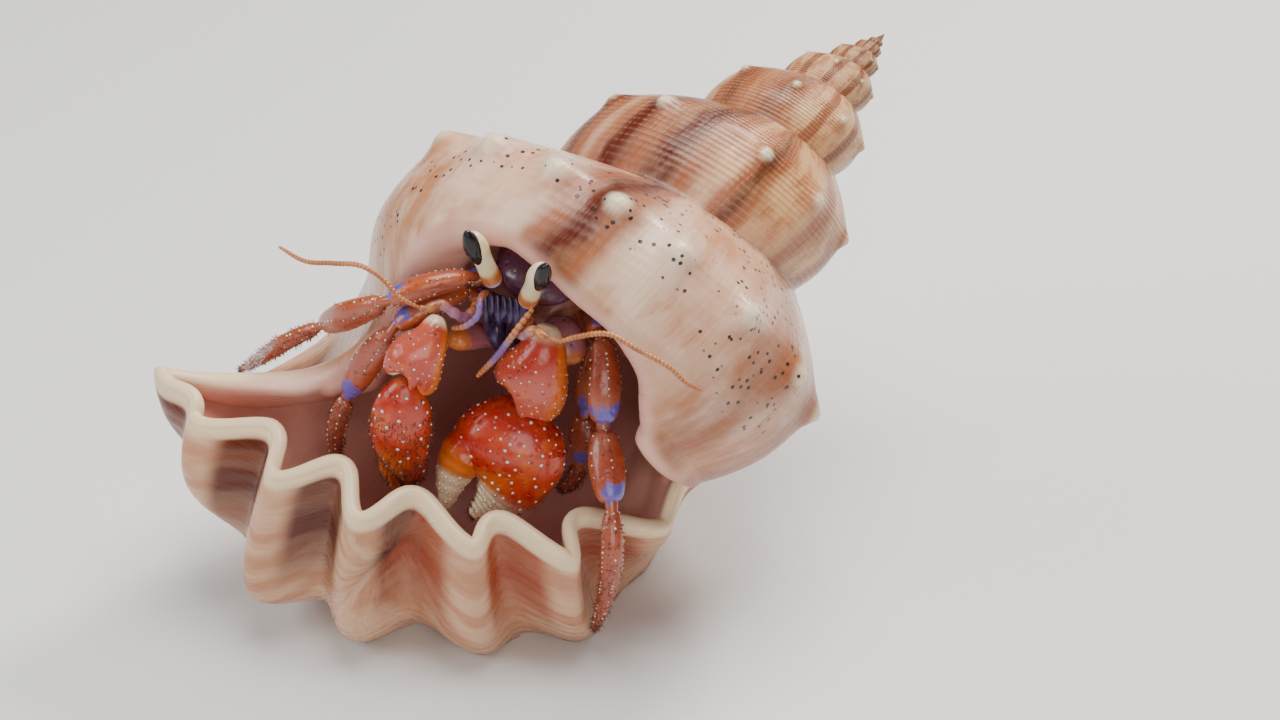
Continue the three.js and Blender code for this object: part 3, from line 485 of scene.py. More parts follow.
    # values for the colours
    lengths = np.linalg.norm(np.diff(grid, axis=1), axis=-1)
    run = np.concatenate([np.zeros((count, 1)), np.cumsum(lengths, 1)], 1)
    from_rim = run - run[:, outer.shape[1] - 1][:, None]
    free_lip = smooth_step(np.arange(count), ARCH_COLUMNS - 6, ARCH_COLUMNS + 14)
    values = {
        "knob": np.concatenate([outer[..., 3], np.zeros(inner.shape[:2])], 1),
        "from_rim": from_rim,
        "flute": np.broadcast_to(flute[:, None], grid.shape[:2]),
        "free_lip": np.broadcast_to(free_lip[:, None], grid.shape[:2]),
    }
    return grid, values


def shell_faces(columns, rows):
    """Quads between neighbouring columns. Where the last column meets the first, a whorl further
    on, the rows are shifted by one whorl; fans close the point, that joint and the throat."""
    whorl, spire = WHORL_ROWS, SPIRE_WHORLS * WHORL_ROWS

    def quads(first, second, from_row, to_row, shift=0):
        j = np.arange(from_row, to_row)[None, :]
        first, second = first[:, None] * rows, second[:, None] * rows
        corners = (first + j, second + j + shift, second + j + shift + 1, first + j + 1)
        return np.stack(np.broadcast_arrays(*corners), -1).reshape(-1, 4)

    ring = np.arange(columns)
    last, start = ring[-1:], ring[:1]
    point, pole = columns * rows, columns * rows + 1
    step = np.arange(whorl)
    row_end = ring * rows + rows - 1
    tip_link = np.stack([np.full(whorl, (columns - 1) * rows), step, step + 1], -1)
    mouth_link = np.stack([(columns - 1) * rows + spire + step, np.full(whorl, spire + whorl),
                           (columns - 1) * rows + spire + step + 1], -1)
    tip = np.stack([np.full(columns, point), np.roll(ring, -1) * rows, ring * rows], -1)
    throat = np.stack([row_end, np.roll(row_end, -1), np.full(columns, pole)], -1)
    return [np.concatenate([quads(ring[:-1], ring[1:], 0, rows - 1), quads(last, start, 0, spire, whorl),
                            quads(last, start, spire + whorl, rows - 1)]),
            np.concatenate([tip_link, mouth_link, tip, throat])]


shell_points, shell_values = shell_grid()
columns, rows = shell_points.shape[:2]
THROAT_END = 35.0
ends = np.array([APEX, round_axis(0.0, 0.0, THROAT_END)])

# The dark stripes that run down the whorls: the turn counted back from the mouth, half the
# stripe's width in turns, and its strength.
STRIPES = [(-0.678, 0.013, 1.0), (-0.86, 0.02, 0.3), (-0.95, 0.018, 0.6), (-1.05, 0.016, 0.8),
           (-1.14, 0.018, 0.7), (-1.24, 0.016, 0.9), (-1.33, 0.018, 0.7), (-1.43, 0.016, 0.8),
           (-1.528, 0.012, 0.85), (-1.596, 0.016, 1.0), (-1.657, 0.02, 1.0), (-1.75, 0.011, 0.9),
           (-1.85, 0.012, 0.35), (-1.93, 0.016, 0.5), (-2.575, 0.02, 0.8), (-2.668, 0.024, 0.8)]
# Higher up the spire the stripes are evenly spaced, this share of a turn apart.
SPIRE_STRIPE_STEP = 0.093
# Spiral threads from one suture to the next, and how deep the paint's relief is, in metres.
THREADS = 24
RELIEF = 0.00009
CREAM = (0.84, 0.68, 0.46, 1)


def shell_material():
    """Peach cream with rusty stripes, spiral threads and pale knobs; a cream rim with red-brown hollows under
    it, partly painted shade; and a pink mouth with painted shade deepening inward."""
    paint = Paint("shell_paint", roughness=0.34, Specular_IOR_Level=0.35, Coat_Weight=0.18,
                  Coat_Roughness=0.08)
    knob, rim = paint.value("knob"), paint.value("from_rim")
    flute, lip = paint.value("flute"), paint.value("free_lip")
    place = paint.place
    # place from the shell's point, in millimetres, along its axis and the two directions square to it
    offset = [float(x) for x in -(HOME + APEX)]
    from_apex = place.node("ShaderNodeVectorMath", settings={"operation": "MULTIPLY_ADD"},
                           in0=place, in1=(1000.0, 1000.0, 1000.0), in2=offset)

    def part_along(axis):
        """How far the place lies from the point along this direction."""
        return place.node("ShaderNodeVectorMath", "Value", settings={"operation": "DOT_PRODUCT"},
                          in0=from_apex, in1=[float(x) for x in axis])

    distance = part_along(-AXIS)
    azimuth = part_along(-RIGHT).maths("ARCTAN2", part_along(FRONT)) / (2 * math.pi)
    mouth_turn = (azimuth - FIRST_TURN / 360).maths("FRACT") - 1
    whorls_out = (distance.maths("MAXIMUM", 0.2) / SUTURE).maths("LOGARITHM", GROWTH)
    back = (mouth_turn - whorls_out).maths("CEIL").maths("MAXIMUM", 0.0)
    turn = mouth_turn - back
    across = whorls_out - turn
    wobble = place.noise(110.0, 2.0)
    leaning = turn + (wobble - 0.5) * 0.03
    stripe = leaning * 0
    for at, half, strength in STRIPES:
        off = (leaning - at) / (half * 1.6)
        stripe = stripe + (off * off * -1).maths("EXPONENT") * strength
    upper = (leaning * (2 * math.pi / SPIRE_STRIPE_STEP)).maths("SINE").ramp(0.35, 0.95)
    stripe = (stripe + upper * turn.ramp(-2.8, -2.72, 0.75, 0)).maths("MINIMUM", 1.0)
    thread = (across * (THREADS * 2 * math.pi)).maths("SINE")
    streak = paint.streaks(turn * 40, across * 3.5, distance * 0.02, 4.0, 0.6)
    growth = paint.streaks(turn * 260, across * 4, 0.0, 3.0, 0.6)
    cloud = place.noise(60.0, 4.0, 0.6)
    spire = distance.ramp(30.0, 44.0, 1, 0)
    # the base: cream to peach, with tan streaks along the growth lines
    base = paint.blend(cloud.ramp(0.38, 0.62), (0.64, 0.33, 0.20, 1), (0.76, 0.52, 0.38, 1))
    base = paint.blend(streak.ramp(0.50, 0.68, 0, 0.5), base, (0.46, 0.15, 0.045, 1))
    tan_side = turn.ramp(-1.0, -0.9) * turn.ramp(-0.83, -0.79, 1, 0) * across.ramp(0.3, 0.6)
    tan_side = tan_side + turn.ramp(-0.62, -0.55) * turn.ramp(-0.5, -0.4, 1, 0) * across.ramp(0.25, 0.5)
    base = paint.blend(tan_side * streak.ramp(0.35, 0.6) * 0.8, base, (0.46, 0.16, 0.045, 1))
    fold = (leaning + 0.688) / 0.022
    under_stripe = (fold * fold * -1).maths("EXPONENT") * across.ramp(0.4, 0.62)
    base = paint.blend(under_stripe * 0.75, base, (0.55, 0.20, 0.05, 1))
    rusty = paint.blend(streak.ramp(0.4, 0.62), (0.70, 0.38, 0.14, 1), (0.44, 0.14, 0.03, 1))
    base = paint.blend(spire * 0.75, base, rusty)
    base = paint.blend(stripe * streak.ramp(0.25, 0.5, 0.75, 1), base, (0.10, 0.016, 0.007, 1))
    halo = stripe.ramp(0.05, 0.4) * stripe.ramp(0.5, 0.9, 1, 0)
    base = paint.blend(halo * 0.7, base, (0.32, 0.08, 0.025, 1))
    # pale spiral threads break up the stripes, most clearly on the spire
    line = thread.ramp(0.35, 0.95) * growth.ramp(0.35, 0.6)
    base = paint.blend(line * (spire * 0.15 + 0.04), base, (0.84, 0.60, 0.37, 1))
    seam = across.ramp(0.0, 0.05, 1, 0) * streak.ramp(0.3, 0.6)
    base = paint.blend(seam * 0.6, base, (0.25, 0.09, 0.07, 1))
    base = paint.blend(knob.ramp(0.5, 1.2, 0, 0.9), base, CREAM)
    # outside the free lip, the hollows under the crests are red-brown and partly painted shade, darkest on
    # the crab's right and the wing, with growth lines
    lip_streak = paint.streaks(azimuth * 22, rim * 0.22, flute * 0.3, 3.0, 0.5)
    lip_base = paint.blend(lip_streak.ramp(0.42, 0.64), (0.66, 0.38, 0.23, 1), (0.52, 0.23, 0.12, 1))
    # painted shade: the flute hollows under the crests are darkened toward red-brown, near black on the wing,
    # over the lip's own colour
    hollow_shade_and_tint = (flute + (lip_streak - 0.5) * 0.3).ramp(-0.1, 0.7, 1, 0)
    depth = rim.ramp(-20.0, -9.0) * rim.ramp(-2.0, -1.3, 1, 0)
    bands = (rim * 0.9 + lip_streak * 4.0).maths("SINE").ramp(-0.7, 0.6, 0.85, 1)
    right_side = azimuth.maths("ABSOLUTE").ramp(0.36, 0.44)
    red = paint.blend(right_side, (0.32, 0.055, 0.016, 1), (0.20, 0.034, 0.011, 1))
    wing = azimuth.ramp(0.40, 0.47, 1, 0) * azimuth.ramp(0.0, 0.1)
    red = paint.blend(wing, red, (0.10, 0.018, 0.007, 1))
    outside_lip = paint.blend(hollow_shade_and_tint * depth * bands, lip_base, red)
    base = paint.blend(lip, base, outside_lip)
    # the mouth's pink inside, with painted shade deepening toward the throat, and its cream rim
    inner_cloud = place.noise(90.0, 3.0)
    pink = paint.blend(inner_cloud.ramp(0.35, 0.65), (0.80, 0.46, 0.36, 1), (0.70, 0.34, 0.27, 1))
    # painted shade: the pink darkens from 18 to 50 mm inside the rim
    inside = paint.blend(rim.ramp(18, 50), pink, (0.40, 0.16, 0.14, 1))
    base = paint.blend(rim.ramp(0.3, 2.4), base, inside)
    edge_band = rim.ramp(-1.9, -1.0) * rim.ramp(2.6, 4.6, 1, 0) * lip
    edge_colour = paint.blend(cloud, (0.80, 0.56, 0.31, 1), CREAM)
    base = paint.blend(edge_band * 0.92, base, edge_colour)
    # small dark specks on the top of the last whorl
    speck_zone = place.noise(70.0, 2.0).ramp(0.34, 0.52) * rim.ramp(-8.0, -6.0, 1, 0)
    speck_zone = speck_zone * turn.ramp(-0.95, -0.88) * turn.ramp(-0.52, -0.45, 1, 0)
    speck_zone = speck_zone * across.ramp(0.45, 0.9, 1, 0)
    specks = place.cells(800.0).ramp(0.15, 0.23, 1, 0) * speck_zone.ramp(0.1, 0.3)
    base = paint.blend(specks, base, (0.03, 0.028, 0.03, 1))
    # threads, growth lines and the lip's ridges stand out a little, outside the rim only
    lip_ridges = (rim * 3.2 + lip_streak * 7).maths("SINE")
    height = thread * (spire * 0.35 + 0.12) + growth * 1.4 + lip * lip_ridges * 0.5
    height = height * rim.ramp(-1.2, -0.2, 1, 0) + specks * 2.5
    rough = growth.ramp(0.35, 0.65, 0.20, 0.42) + rim.ramp(-1, 1) * 0.06
    return paint.finish(base, roughness=rough, height=height, depth=RELIEF)


all_points = np.concatenate([shell_points.reshape(-1, 3), ends])
padded_values = {key: np.concatenate([value.ravel(), [value.ravel()[0], value.ravel()[-1]]])
                 for key, value in shell_values.items()}
shell = mesh_object("shell_surface", all_points, shell_faces(columns, rows), shell_material(),
                    padded_values)
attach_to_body(shell, "root")
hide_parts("shell")

# ---- shapes shared by the crab's pieces ----
# A limb is lofted along a path: rings of points whose size follows the half widths and depths.


def loft(path, widths, depths, side=(1, 0, 0), rings=40, sides=36, blunt=3.5, neck=0.0):
    """Returns points as rings by sides, the share along and the angle round. The ring's size is
    scaled by (1 - |2 share - 1|^blunt)^(1/blunt), never below the neck share of full size."""
    path = np.asarray(path, float)
    lengths = np.concatenate([[0], np.cumsum(np.linalg.norm(np.diff(path, axis=0), axis=1))])
    share = (1 - np.cos(np.pi * np.linspace(0.004, 0.996, rings))) / 2
    centre = curve_at(share * lengths[-1], lengths, path)
    ahead = unit(curve_at(np.minimum(1, share + 0.02) * lengths[-1], lengths, path)
                 - curve_at(np.maximum(0, share - 0.02) * lengths[-1], lengths, path))
    side = np.asarray(side, float)
    across = unit(side - (ahead @ side)[:, None] * ahead)
    deep = np.cross(ahead, across)
    rounding = np.maximum((1 - np.abs(2 * share - 1) ** blunt) ** (1 / blunt), neck)
    width = curve_at(share, np.linspace(0, 1, len(widths)), widths) * rounding
    depth = curve_at(share, np.linspace(0, 1, len(depths)), depths) * rounding
    angle = np.linspace(0, 2 * np.pi, sides, endpoint=False)
    grid = centre[:, None] + (width[:, None, None] * np.cos(angle)[None, :, None] * across[:, None]
                              + depth[:, None, None] * np.sin(angle)[None, :, None] * deep[:, None])
    return grid, np.broadcast_to(share[:, None], grid.shape[:2]), np.broadcast_to(angle, grid.shape[:2])


def grid_normals(grid):
    """Outward normals of a grid of rings by sides, from the differences along and round."""
    along = np.gradient(grid, axis=0)
    around = np.roll(grid, -1, 1) - np.roll(grid, 1, 1)
    normal = unit(np.cross(around, along))
    outward = grid - grid.mean(1, keepdims=True)
    flip = np.sign((normal * outward).sum((1, 2)))
    return normal * np.where(flip == 0, 1, flip)[:, None, None]


def closed_limb(grid, values, first=0):
    """Points, faces and values of a grid of rings by sides, closed by a fan at each end. Its faces
    are numbered from first."""
    rings, sides = grid.shape[:2]
    ring, spot = np.meshgrid(np.arange(rings - 1), np.arange(sides), indexing="ij")
    after = (spot + 1) % sides
    quads = np.stack([ring * sides + spot, ring * sides + after, (ring + 1) * sides + after,
                      (ring + 1) * sides + spot], -1).reshape(-1, 4)
    spots = np.arange(sides)
    after = (spots + 1) % sides
    start = np.stack([np.full(sides, rings * sides), after, spots], -1)
    last = (rings - 1) * sides
    end = np.stack([np.full(sides, rings * sides + 1), last + spots, last + after], -1)
    points = np.concatenate([grid.reshape(-1, 3), grid[0].mean(0)[None], grid[-1].mean(0)[None]])
    kept = {}
    for key, value in values.items():
        spread = np.broadcast_to(value, grid.shape[:2])
        kept[key] = np.concatenate([spread.ravel(), [spread[0, 0], spread[-1, 0]]])
    return points, [quads + first, np.concatenate([start, end]) + first], kept


def plain(along):
    """The armour paint's values, all at nothing."""
    return {key: 0.0 * along for key in ("ridge", "joint", "cream", "dark")}


def joined_limbs(name, limbs, material, slot, nodes=()):
    """One object from several closed limbs, each a grid with its values."""
    points, faces, values, first = [], [], {}, 0
    for grid, kept in limbs:
        some_points, some_faces, some_values = closed_limb(grid, kept, first)
        points.append(some_points)
        faces.extend(some_faces)
        for key, value in some_values.items():
            values.setdefault(key, []).append(value)
        first += len(some_points)
    values = {key: np.concatenate(value) for key, value in values.items()}
    made = mesh_object(name, np.concatenate(points), faces, material, values)
    return attach(made, slot, *nodes)


def attach(piece, slot, *nodes):
    """Puts a piece on the still body, in place of the named solids. The slot is not used."""
    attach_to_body(piece, "root")
    if nodes:
        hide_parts(*nodes)
    return piece


def square_to(directions):
    """Two unit vectors square to each direction and to each other."""
    helper = np.where(np.abs(directions[:, 2:]) < 0.8, [[0.0, 0.0, 1.0]], [[1.0, 0.0, 0.0]])
    first = unit(np.cross(directions, helper))
    return first, np.cross(directions, first)


def studs(name, places, normals, radii, height, material, slot):
    """Low domes with a flat skirt. The dome's height is height * radius * (1 - r^2); the stored
    value top runs from 1 in the middle to 0 at the skirt."""
    reach = np.array([0.0, 0.45, 0.8, 1.0, 1.45])
    lift = np.array([1.0, 0.82, 0.42, 0.1, -0.12]) * height
    top = np.array([1.0, 1.0, 1.0, 0.35, 0.0])
    sides = 8
    angle = np.linspace(0, 2 * np.pi, sides, endpoint=False)
    first, second = square_to(normals)
    around = (np.cos(angle)[None, :, None] * first[:, None] + np.sin(angle)[None, :, None] * second[:, None])
    size = radii[:, None, None, None]
    rings = (places[:, None, None] + size * (reach[1:][None, :, None, None] * around[:, None]
             + lift[1:][None, :, None, None] * normals[:, None, None]))
    middle = places + radii[:, None] * lift[0] * normals
    points = np.concatenate([middle[:, None], rings.reshape(len(places), -1, 3)], 1)
    spots = np.arange(sides)
    after = (spots + 1) % sides
    fan = np.stack([np.zeros(sides, int), 1 + spots, 1 + after], -1)
    quads = np.concatenate([np.stack([1 + r * sides + spots, 1 + (r + 1) * sides + spots,
                                      1 + (r + 1) * sides + after, 1 + r * sides + after], -1)
                            for r in range(len(reach) - 2)])
    step = np.arange(len(places))[:, None, None] * points.shape[1]
    tops = np.concatenate([top[:1], np.repeat(top[1:], sides)])
    made = mesh_object(name, points.reshape(-1, 3),
                       [(fan[None] + step).reshape(-1, 3), (quads[None] + step).reshape(-1, 4)],
                       material, {"top": np.tile(tops, len(places))})
    return attach(made, slot)


def bristles(name, places, directions, lengths, radius, material, slot, unwrap):
    """Short tapering hairs, each a four-sided point whose root is sunk a little. Each hair's patch
    on the OFBake map lies at its root's place on the skin's own unwrap."""
    sides = 4
    sunk, waist_share = 0.15, 0.55
    angle = np.linspace(0, 2 * np.pi, sides, endpoint=False)
    first, second = square_to(directions)
    around = np.cos(angle)[None, :, None] * first[:, None] + np.sin(angle)[None, :, None] * second[:, None]
    foot = places - directions * sunk
    base = foot[:, None] + around * radius
    waist = (foot[:, None] + directions[:, None] * lengths[:, None, None] * waist_share
             + around * radius * 0.75)
    tip = foot + directions * (lengths[:, None] + sunk)
    points = np.concatenate([base, waist, tip[:, None]], 1)
    spots = np.arange(sides)
    after = (spots + 1) % sides
    quads = np.stack([spots, after, sides + after, sides + spots], -1)
    fan = np.stack([sides + spots, sides + after, np.full(sides, 2 * sides)], -1)
    root_face = np.array([[3, 2, 1, 0]])
    step = np.arange(len(places))[:, None, None] * points.shape[1]
    along = np.concatenate([np.zeros(sides), np.full(sides, waist_share), [1.0]])
    made = mesh_object(name, points.reshape(-1, 3),
                       [(np.concatenate([quads, root_face])[None] + step).reshape(-1, 4),
                        (fan[None] + step).reshape(-1, 3)],
                       material, {"along": np.tile(along, len(places))})
    local = np.concatenate([np.stack([np.cos(angle), np.sin(angle)], -1) * 0.0014,
                            np.stack([np.cos(angle), np.sin(angle)], -1) * 0.0008, [[0.0, 0.0]]])
    uv = (unwrap[:, None] * 0.99 + 0.004 + local[None]).reshape(-1, 2)
    layer = made.data.uv_layers.new(name="OFBake")
    indices = np.zeros(len(made.data.loops), np.int32)
    made.data.loops.foreach_get("vertex_index", indices)
    layer.data.foreach_set("uv", uv[indices].astype(np.float32).ravel())
    return attach(made, slot)


def scattered(seed, grid, count, where, gap=0.0):
    """Places and normals picked at random from the grid's points for which where is true, never
    nearer than gap to an earlier one, and their share round and along as an unwrap."""
    chance = np.random.default_rng(seed)
    normals = grid_normals(grid).reshape(-1, 3)
    options = np.flatnonzero(np.broadcast_to(where, grid.shape[:2]).ravel())
    chosen = chance.choice(options, min(count, len(options)), replace=False)
    spots = grid.reshape(-1, 3)[chosen]
    if gap:
        apart = np.linalg.norm(spots[:, None] - spots[None], axis=-1)
        chosen = chosen[~np.tril(apart < gap, -1).any(1)]
    rings, sides = grid.shape[:2]
    unwrap = np.stack([(chosen % sides) / sides, (chosen // sides) / rings], -1)
    return grid.reshape(-1, 3)[chosen], normals[chosen], unwrap, chance


def armour_paint(name, main, edge, pale, roughness=0.3):
    """Hard skin: the main colour clouded with the pale one, mottled and ridged with the edge colour, dark
    specked, violet at soft joints, and blackened with painted shade where the dark value is set."""
    paint = Paint(name, roughness=roughness, Coat_Weight=0.35, Coat_Roughness=0.1)
    mottle = paint.place.noise(420.0, 4.0, 0.65)
    broad = paint.place.noise(120.0, 2.0)
    spots = paint.place.cells(900.0)
    colour = paint.blend(broad.ramp(0.38, 0.62), main, pale)
    colour = paint.blend(mottle.ramp(0.48, 0.7, 0, 0.6), colour, edge)
    colour = paint.blend(spots.ramp(0.08, 0.24, 0.7, 0), colour, (0.10, 0.012, 0.01, 1))
    colour = paint.blend(paint.value("ridge"), colour, edge)
    patch = (paint.value("joint") + (mottle - 0.5) * 2.4).ramp(0.42, 0.6)
    patch = patch * paint.value("joint").ramp(0.05, 0.2)
    colour = paint.blend(patch, colour, (0.13, 0.09, 0.40, 1))
    colour = paint.blend(paint.value("cream"), colour, (0.78, 0.62, 0.40, 1))
    # painted shade: the dark value blackens the inside of a socket
    colour = paint.blend(paint.value("dark"), colour, (0.035, 0.008, 0.008, 1))
    height = spots.ramp(0.08, 0.4) * 0.8 + mottle * 0.5
    return paint.finish(colour, roughness=mottle.ramp(0.3, 0.7, 0.22, 0.42), height=height, depth=0.00010)


def granule_paint(name, top_colour, ring_colour):
    """A pale, wet-looking granule set in a dark ring."""
    paint = Paint(name, roughness=0.25, Coat_Weight=0.3)
    shade = paint.place.noise(700.0)
    top = paint.blend(shade, top_colour, (0.93, 0.86, 0.74, 1))
    return paint.finish(paint.blend(paint.value("top").ramp(0.2, 0.7), ring_colour, top))


def bristle_paint(name, root, tip):
    """A hair whose colour runs from its root's to its tip's."""
    paint = Paint(name, roughness=0.45)
    return paint.finish(paint.blend(paint.value("along"), root, tip))


# ---- shield and soft body ----
# The front shield is a hard purplish plate under the arch. Behind it the soft body and the coiled
# tail are one skin that runs back into the shell.
BODY_ACROSS = (0.92, -0.209, -0.293)
shield_grid, shield_along, shield_round = loft(
    [[9.4, 12.6, 46], [11.2, 16, 46.6], [12.9, 18.5, 47.6], [14.6, 21.2, 48.2]],
    [3.4, 5.2, 5.4, 4.2], [2, 3, 3.2, 2.8], BODY_ACROSS, rings=60, sides=72)
shield_normals = grid_normals(shield_grid)
groove = np.exp(-((shield_along - 0.55 - 0.06 * np.cos(2 * shield_round)) / 0.03) ** 2)
shield_grid = shield_grid - shield_normals * (0.25 * groove)[..., None]
shield_paint = armour_paint("shield_paint", (0.075, 0.02, 0.04, 1), (0.20, 0.045, 0.025, 1),
                            (0.13, 0.04, 0.09, 1))
joined_limbs("shield_plate", [(shield_grid, plain(shield_along))], shield_paint, "soft_mauve", ["shield"])

soft_paint = Paint("soft_skin_paint", roughness=0.4, Coat_Weight=0.2, Subsurface_Weight=0.1)
soft_folds = soft_paint.place.noise(300.0, 4.0)
soft_paint.finish(soft_paint.blend(soft_folds.ramp(0.35, 0.7), (0.36, 0.11, 0.07, 1), (0.50, 0.25, 0.18, 1)),
                  height=soft_folds, depth=0.00015)
BODY_PATH = [[11.4, 18, 38], [13.4, 20.8, 39.4], [15.8, 23.6, 42.0], [16.5, 27.4, 42.2],
             [16.1, 29.8, 37.4], [17.4, 30.3, 32.4], [21.4, 28.6, 30.2], [26, 25.6, 31],
             [29, 24.8, 35.6], [29.4, 25.8, 39.9], [28.7, 28.3, 42.3]]
body_grid, body_along, _ = loft(BODY_PATH, [2.8, 3.8, 3.6, 3.6, 3.8, 3.8, 3.6, 3.2, 2.6, 2, 1.2],
                                [2.4, 3.2, 3.2, 3.4, 3.7, 3.7, 3.5, 3.1, 2.5, 1.9, 1.2],
                                (0.7, 0.5, 0.4), rings=140, sides=40)
wrinkle = 0.12 * np.sin(body_along * 150) * smooth_step(body_along, 0.15, 0.35)
body_grid = body_grid + grid_normals(body_grid) * wrinkle[..., None]
joined_limbs("soft_body", [(body_grid, {})], soft_paint.material, "tail_buff",
             ["thorax", "abdomen"])

# ---- eyes ----
# Each cornea is a long, smooth black oval set on the front of a cream stalk. The stalk's lower
# part is orange, and a pale bluish band runs round its foot.
EYES = {"right": ([6.5, 9.4, 49.8], [4.1, 6.4, 59.0]), "left": ([10.5, 6.2, 49.2], [12.7, 1.1, 57.9])}
STALK_RADII = [1.55, 1.2, 1.15, 1.35, 1.1]
EYE_RADII = [0.85, 1.12, 1.12, 0.9]
cornea_paint = Paint("cornea_paint", roughness=0.10, Specular_IOR_Level=0.35)
cornea_shade = cornea_paint.place.noise(500.0)
cornea_paint.finish(cornea_paint.blend(cornea_shade, (0.006, 0.006, 0.008, 1), (0.016, 0.013, 0.014, 1)))
stalk_paint = Paint("stalk_paint", roughness=0.28, Coat_Weight=0.3, Subsurface_Weight=0.15)
stalk_streak = stalk_paint.place.noise(500.0, 3.0)
stalk_up = stalk_paint.value("along")
stalk_colour = stalk_paint.blend(stalk_streak.ramp(0.35, 0.7), (0.76, 0.58, 0.28, 1),
                                 (0.84, 0.72, 0.50, 1))
stalk_colour = stalk_paint.blend(stalk_up.ramp(0.34, 0.2), stalk_colour, (0.50, 0.13, 0.025, 1))
stalk_colour = stalk_paint.blend(stalk_up.ramp(0.12, 0.04), stalk_colour, (0.52, 0.60, 0.76, 1))
stalk_paint.finish(stalk_colour, height=stalk_streak, depth=0.00006)
for side_name, (base, tip) in EYES.items():
    base, tip = np.array(base), np.array(tip)
    stalk_path = [base + (tip - base) * s for s in (0, 0.2, 0.4, 0.66, 0.93)]
    stalk_grid, stalk_along, _ = loft(stalk_path, STALK_RADII, STALK_RADII, rings=50, sides=36,
                                      blunt=4)
    joined_limbs(f"stalk_{side_name}", [(stalk_grid, {"along": stalk_along})], stalk_paint.material,
                 "stalk_cream", [f"eyestalk_{side_name}"])
    front = np.array([-0.35 if side_name == "right" else 0.35, -0.5, 0.1])
    eye_path = [base + (tip - base) * s + front for s in (0.38, 0.6, 0.82, 1.02)]
    eye_grid, _, _ = loft(eye_path, EYE_RADII, EYE_RADII, rings=44, sides=40, blunt=2.1)
    joined_limbs(f"cornea_{side_name}", [(eye_grid, {})], cornea_paint.material, "eye_black",
                 [f"eye_{side_name}"])

# ---- feelers ----
# The long whips on their thicker bases and the small pair are ringed: each ring swells a little,
# and the gap between two rings is darker.
feeler_paint = Paint("feeler_paint", roughness=0.35, Coat_Weight=0.2)
ring_dark = feeler_paint.value("ring")
feeler_shade = feeler_paint.place.noise(400.0)
feeler_colour = feeler_paint.blend(feeler_shade.ramp(0.35, 0.65), (0.42, 0.12, 0.025, 1),
                                   (0.58, 0.22, 0.06, 1))
feeler_colour = feeler_paint.blend(ring_dark, feeler_colour, (0.25, 0.07, 0.04, 1))
feeler_colour = feeler_paint.blend(feeler_paint.value("violet"), feeler_colour, (0.14, 0.09, 0.30, 1))
feeler_paint.finish(feeler_colour)


def feeler(name, path, thickness, ring_length, violet=0.0):
    """A thin ringed limb whose rings are ring_length apart, and which is violet in its middle."""
    taper = 0.55
    path = np.asarray(path, float)
    length = np.linalg.norm(np.diff(path, axis=0), axis=1).sum()
    half = thickness / 2
    radii = [half, half, half * taper + half * 0.3]
    count = int(max(60, length / ring_length * 6))
    grid, along, _ = loft(path, radii, radii, rings=count, sides=10, blunt=5)
    wave = np.sin(along * length / ring_length * 2 * np.pi)
    grid = grid.mean(1, keepdims=True) + (grid - grid.mean(1, keepdims=True)) * (1 + 0.1 * wave[..., None])
    blue = violet * smooth_step(along, 0.25, 0.45) * (1 - smooth_step(along, 0.6, 0.85))
    joined_limbs(f"{name}_ringed", [(grid, {"ring": smooth_step(-wave, 0.4, 1), "violet": blue})],
                 feeler_paint.material, "crab_orange", [name])


feeler("feeler_base_right", [[4.3, 11.1, 46.2], [4.1, 8.2, 46.6], [3.1, 6.7, 46.6], [1.9, 5.7, 48],
                             [0.2, 6.1, 49], [-1.4, 5.5, 48.7], [-2.1, 5.5, 48.9]], 1.25, 1.6, 0.5)
feeler("feeler_base_left", [[10.8, 7.4, 46.1], [9.6, 2.8, 47.2], [10.3, 0.9, 48.2], [11.7, 0.3, 49.3],
                            [12.6, -0.6, 49.2], [13.3, -1, 49.2]], 1.25, 1.6, 0.5)
feeler("feeler_right", [[-2.1, 5.5, 48.9], [-4.1, 5.8, 49.9], [-6.8, 7.4, 52.1], [-8.7, 8.4, 52.7],
                        [-12.4, 10.3, 51.9], [-15.9, 12.1, 51], [-19.3, 14.8, 51.3]], 0.62, 0.5)
feeler("feeler_left", [[13.3, -1, 49.2], [14.2, -1.6, 49.1], [16.3, -2.3, 50.1], [20.4, -3.5, 51.3],
                       [23.2, -4.5, 50.1], [27.2, -5.2, 47.8], [29.3, -5.3, 45.6],
                       [30.9, -4.7, 44.2]], 0.62, 0.5)
feeler("small_feeler_right", [[5.7, 9.5, 48.4], [5, 6.3, 49.4], [4.8, 4.8, 48.3], [3.5, 4.9, 46.8],
                              [1.6, 6.3, 45.3]], 0.8, 0.8, 0.9)
feeler("small_feeler_left", [[11.3, 2.9, 50.5], [9.3, 0.8, 48.7], [6.6, 3.3, 43],
                             [4.4, 5, 39.3]], 0.8, 0.8, 0.9)

# ---- mouth legs ----
# A hermit crab's mouth legs fold over its mouth. Two dark violet lobes stand for the outer pair
# and hang between the claws.
lobe_paint = Paint("mouth_leg_paint", roughness=0.3, Coat_Weight=0.3, Subsurface_Weight=0.1)
lobe_shade = lobe_paint.place.noise(350.0, 3.0)
lobe_colour = lobe_paint.blend(lobe_shade.ramp(0.35, 0.65), (0.014, 0.005, 0.03, 1),
                               (0.06, 0.035, 0.13, 1))
lobe_paint.finish(lobe_colour, height=lobe_shade, depth=0.0001)
for side_name, lobe_path in (("right", [[6.8, 13.6, 41.6], [6.4, 13.1, 40], [6.7, 13, 37.4]]),
                             ("left", [[9.2, 13.2, 41.6], [8.9, 13, 40], [8.2, 13, 37.2]])):
    lobe_grid, _, _ = loft(lobe_path, [0.9, 1.05, 0.7], [0.8, 0.9, 0.6], rings=30, sides=20)
    joined_limbs(f"mouth_lobe_{side_name}", [(lobe_grid, {})], lobe_paint.material, "soft_mauve",
                 [f"mouth_leg_{side_name}"])

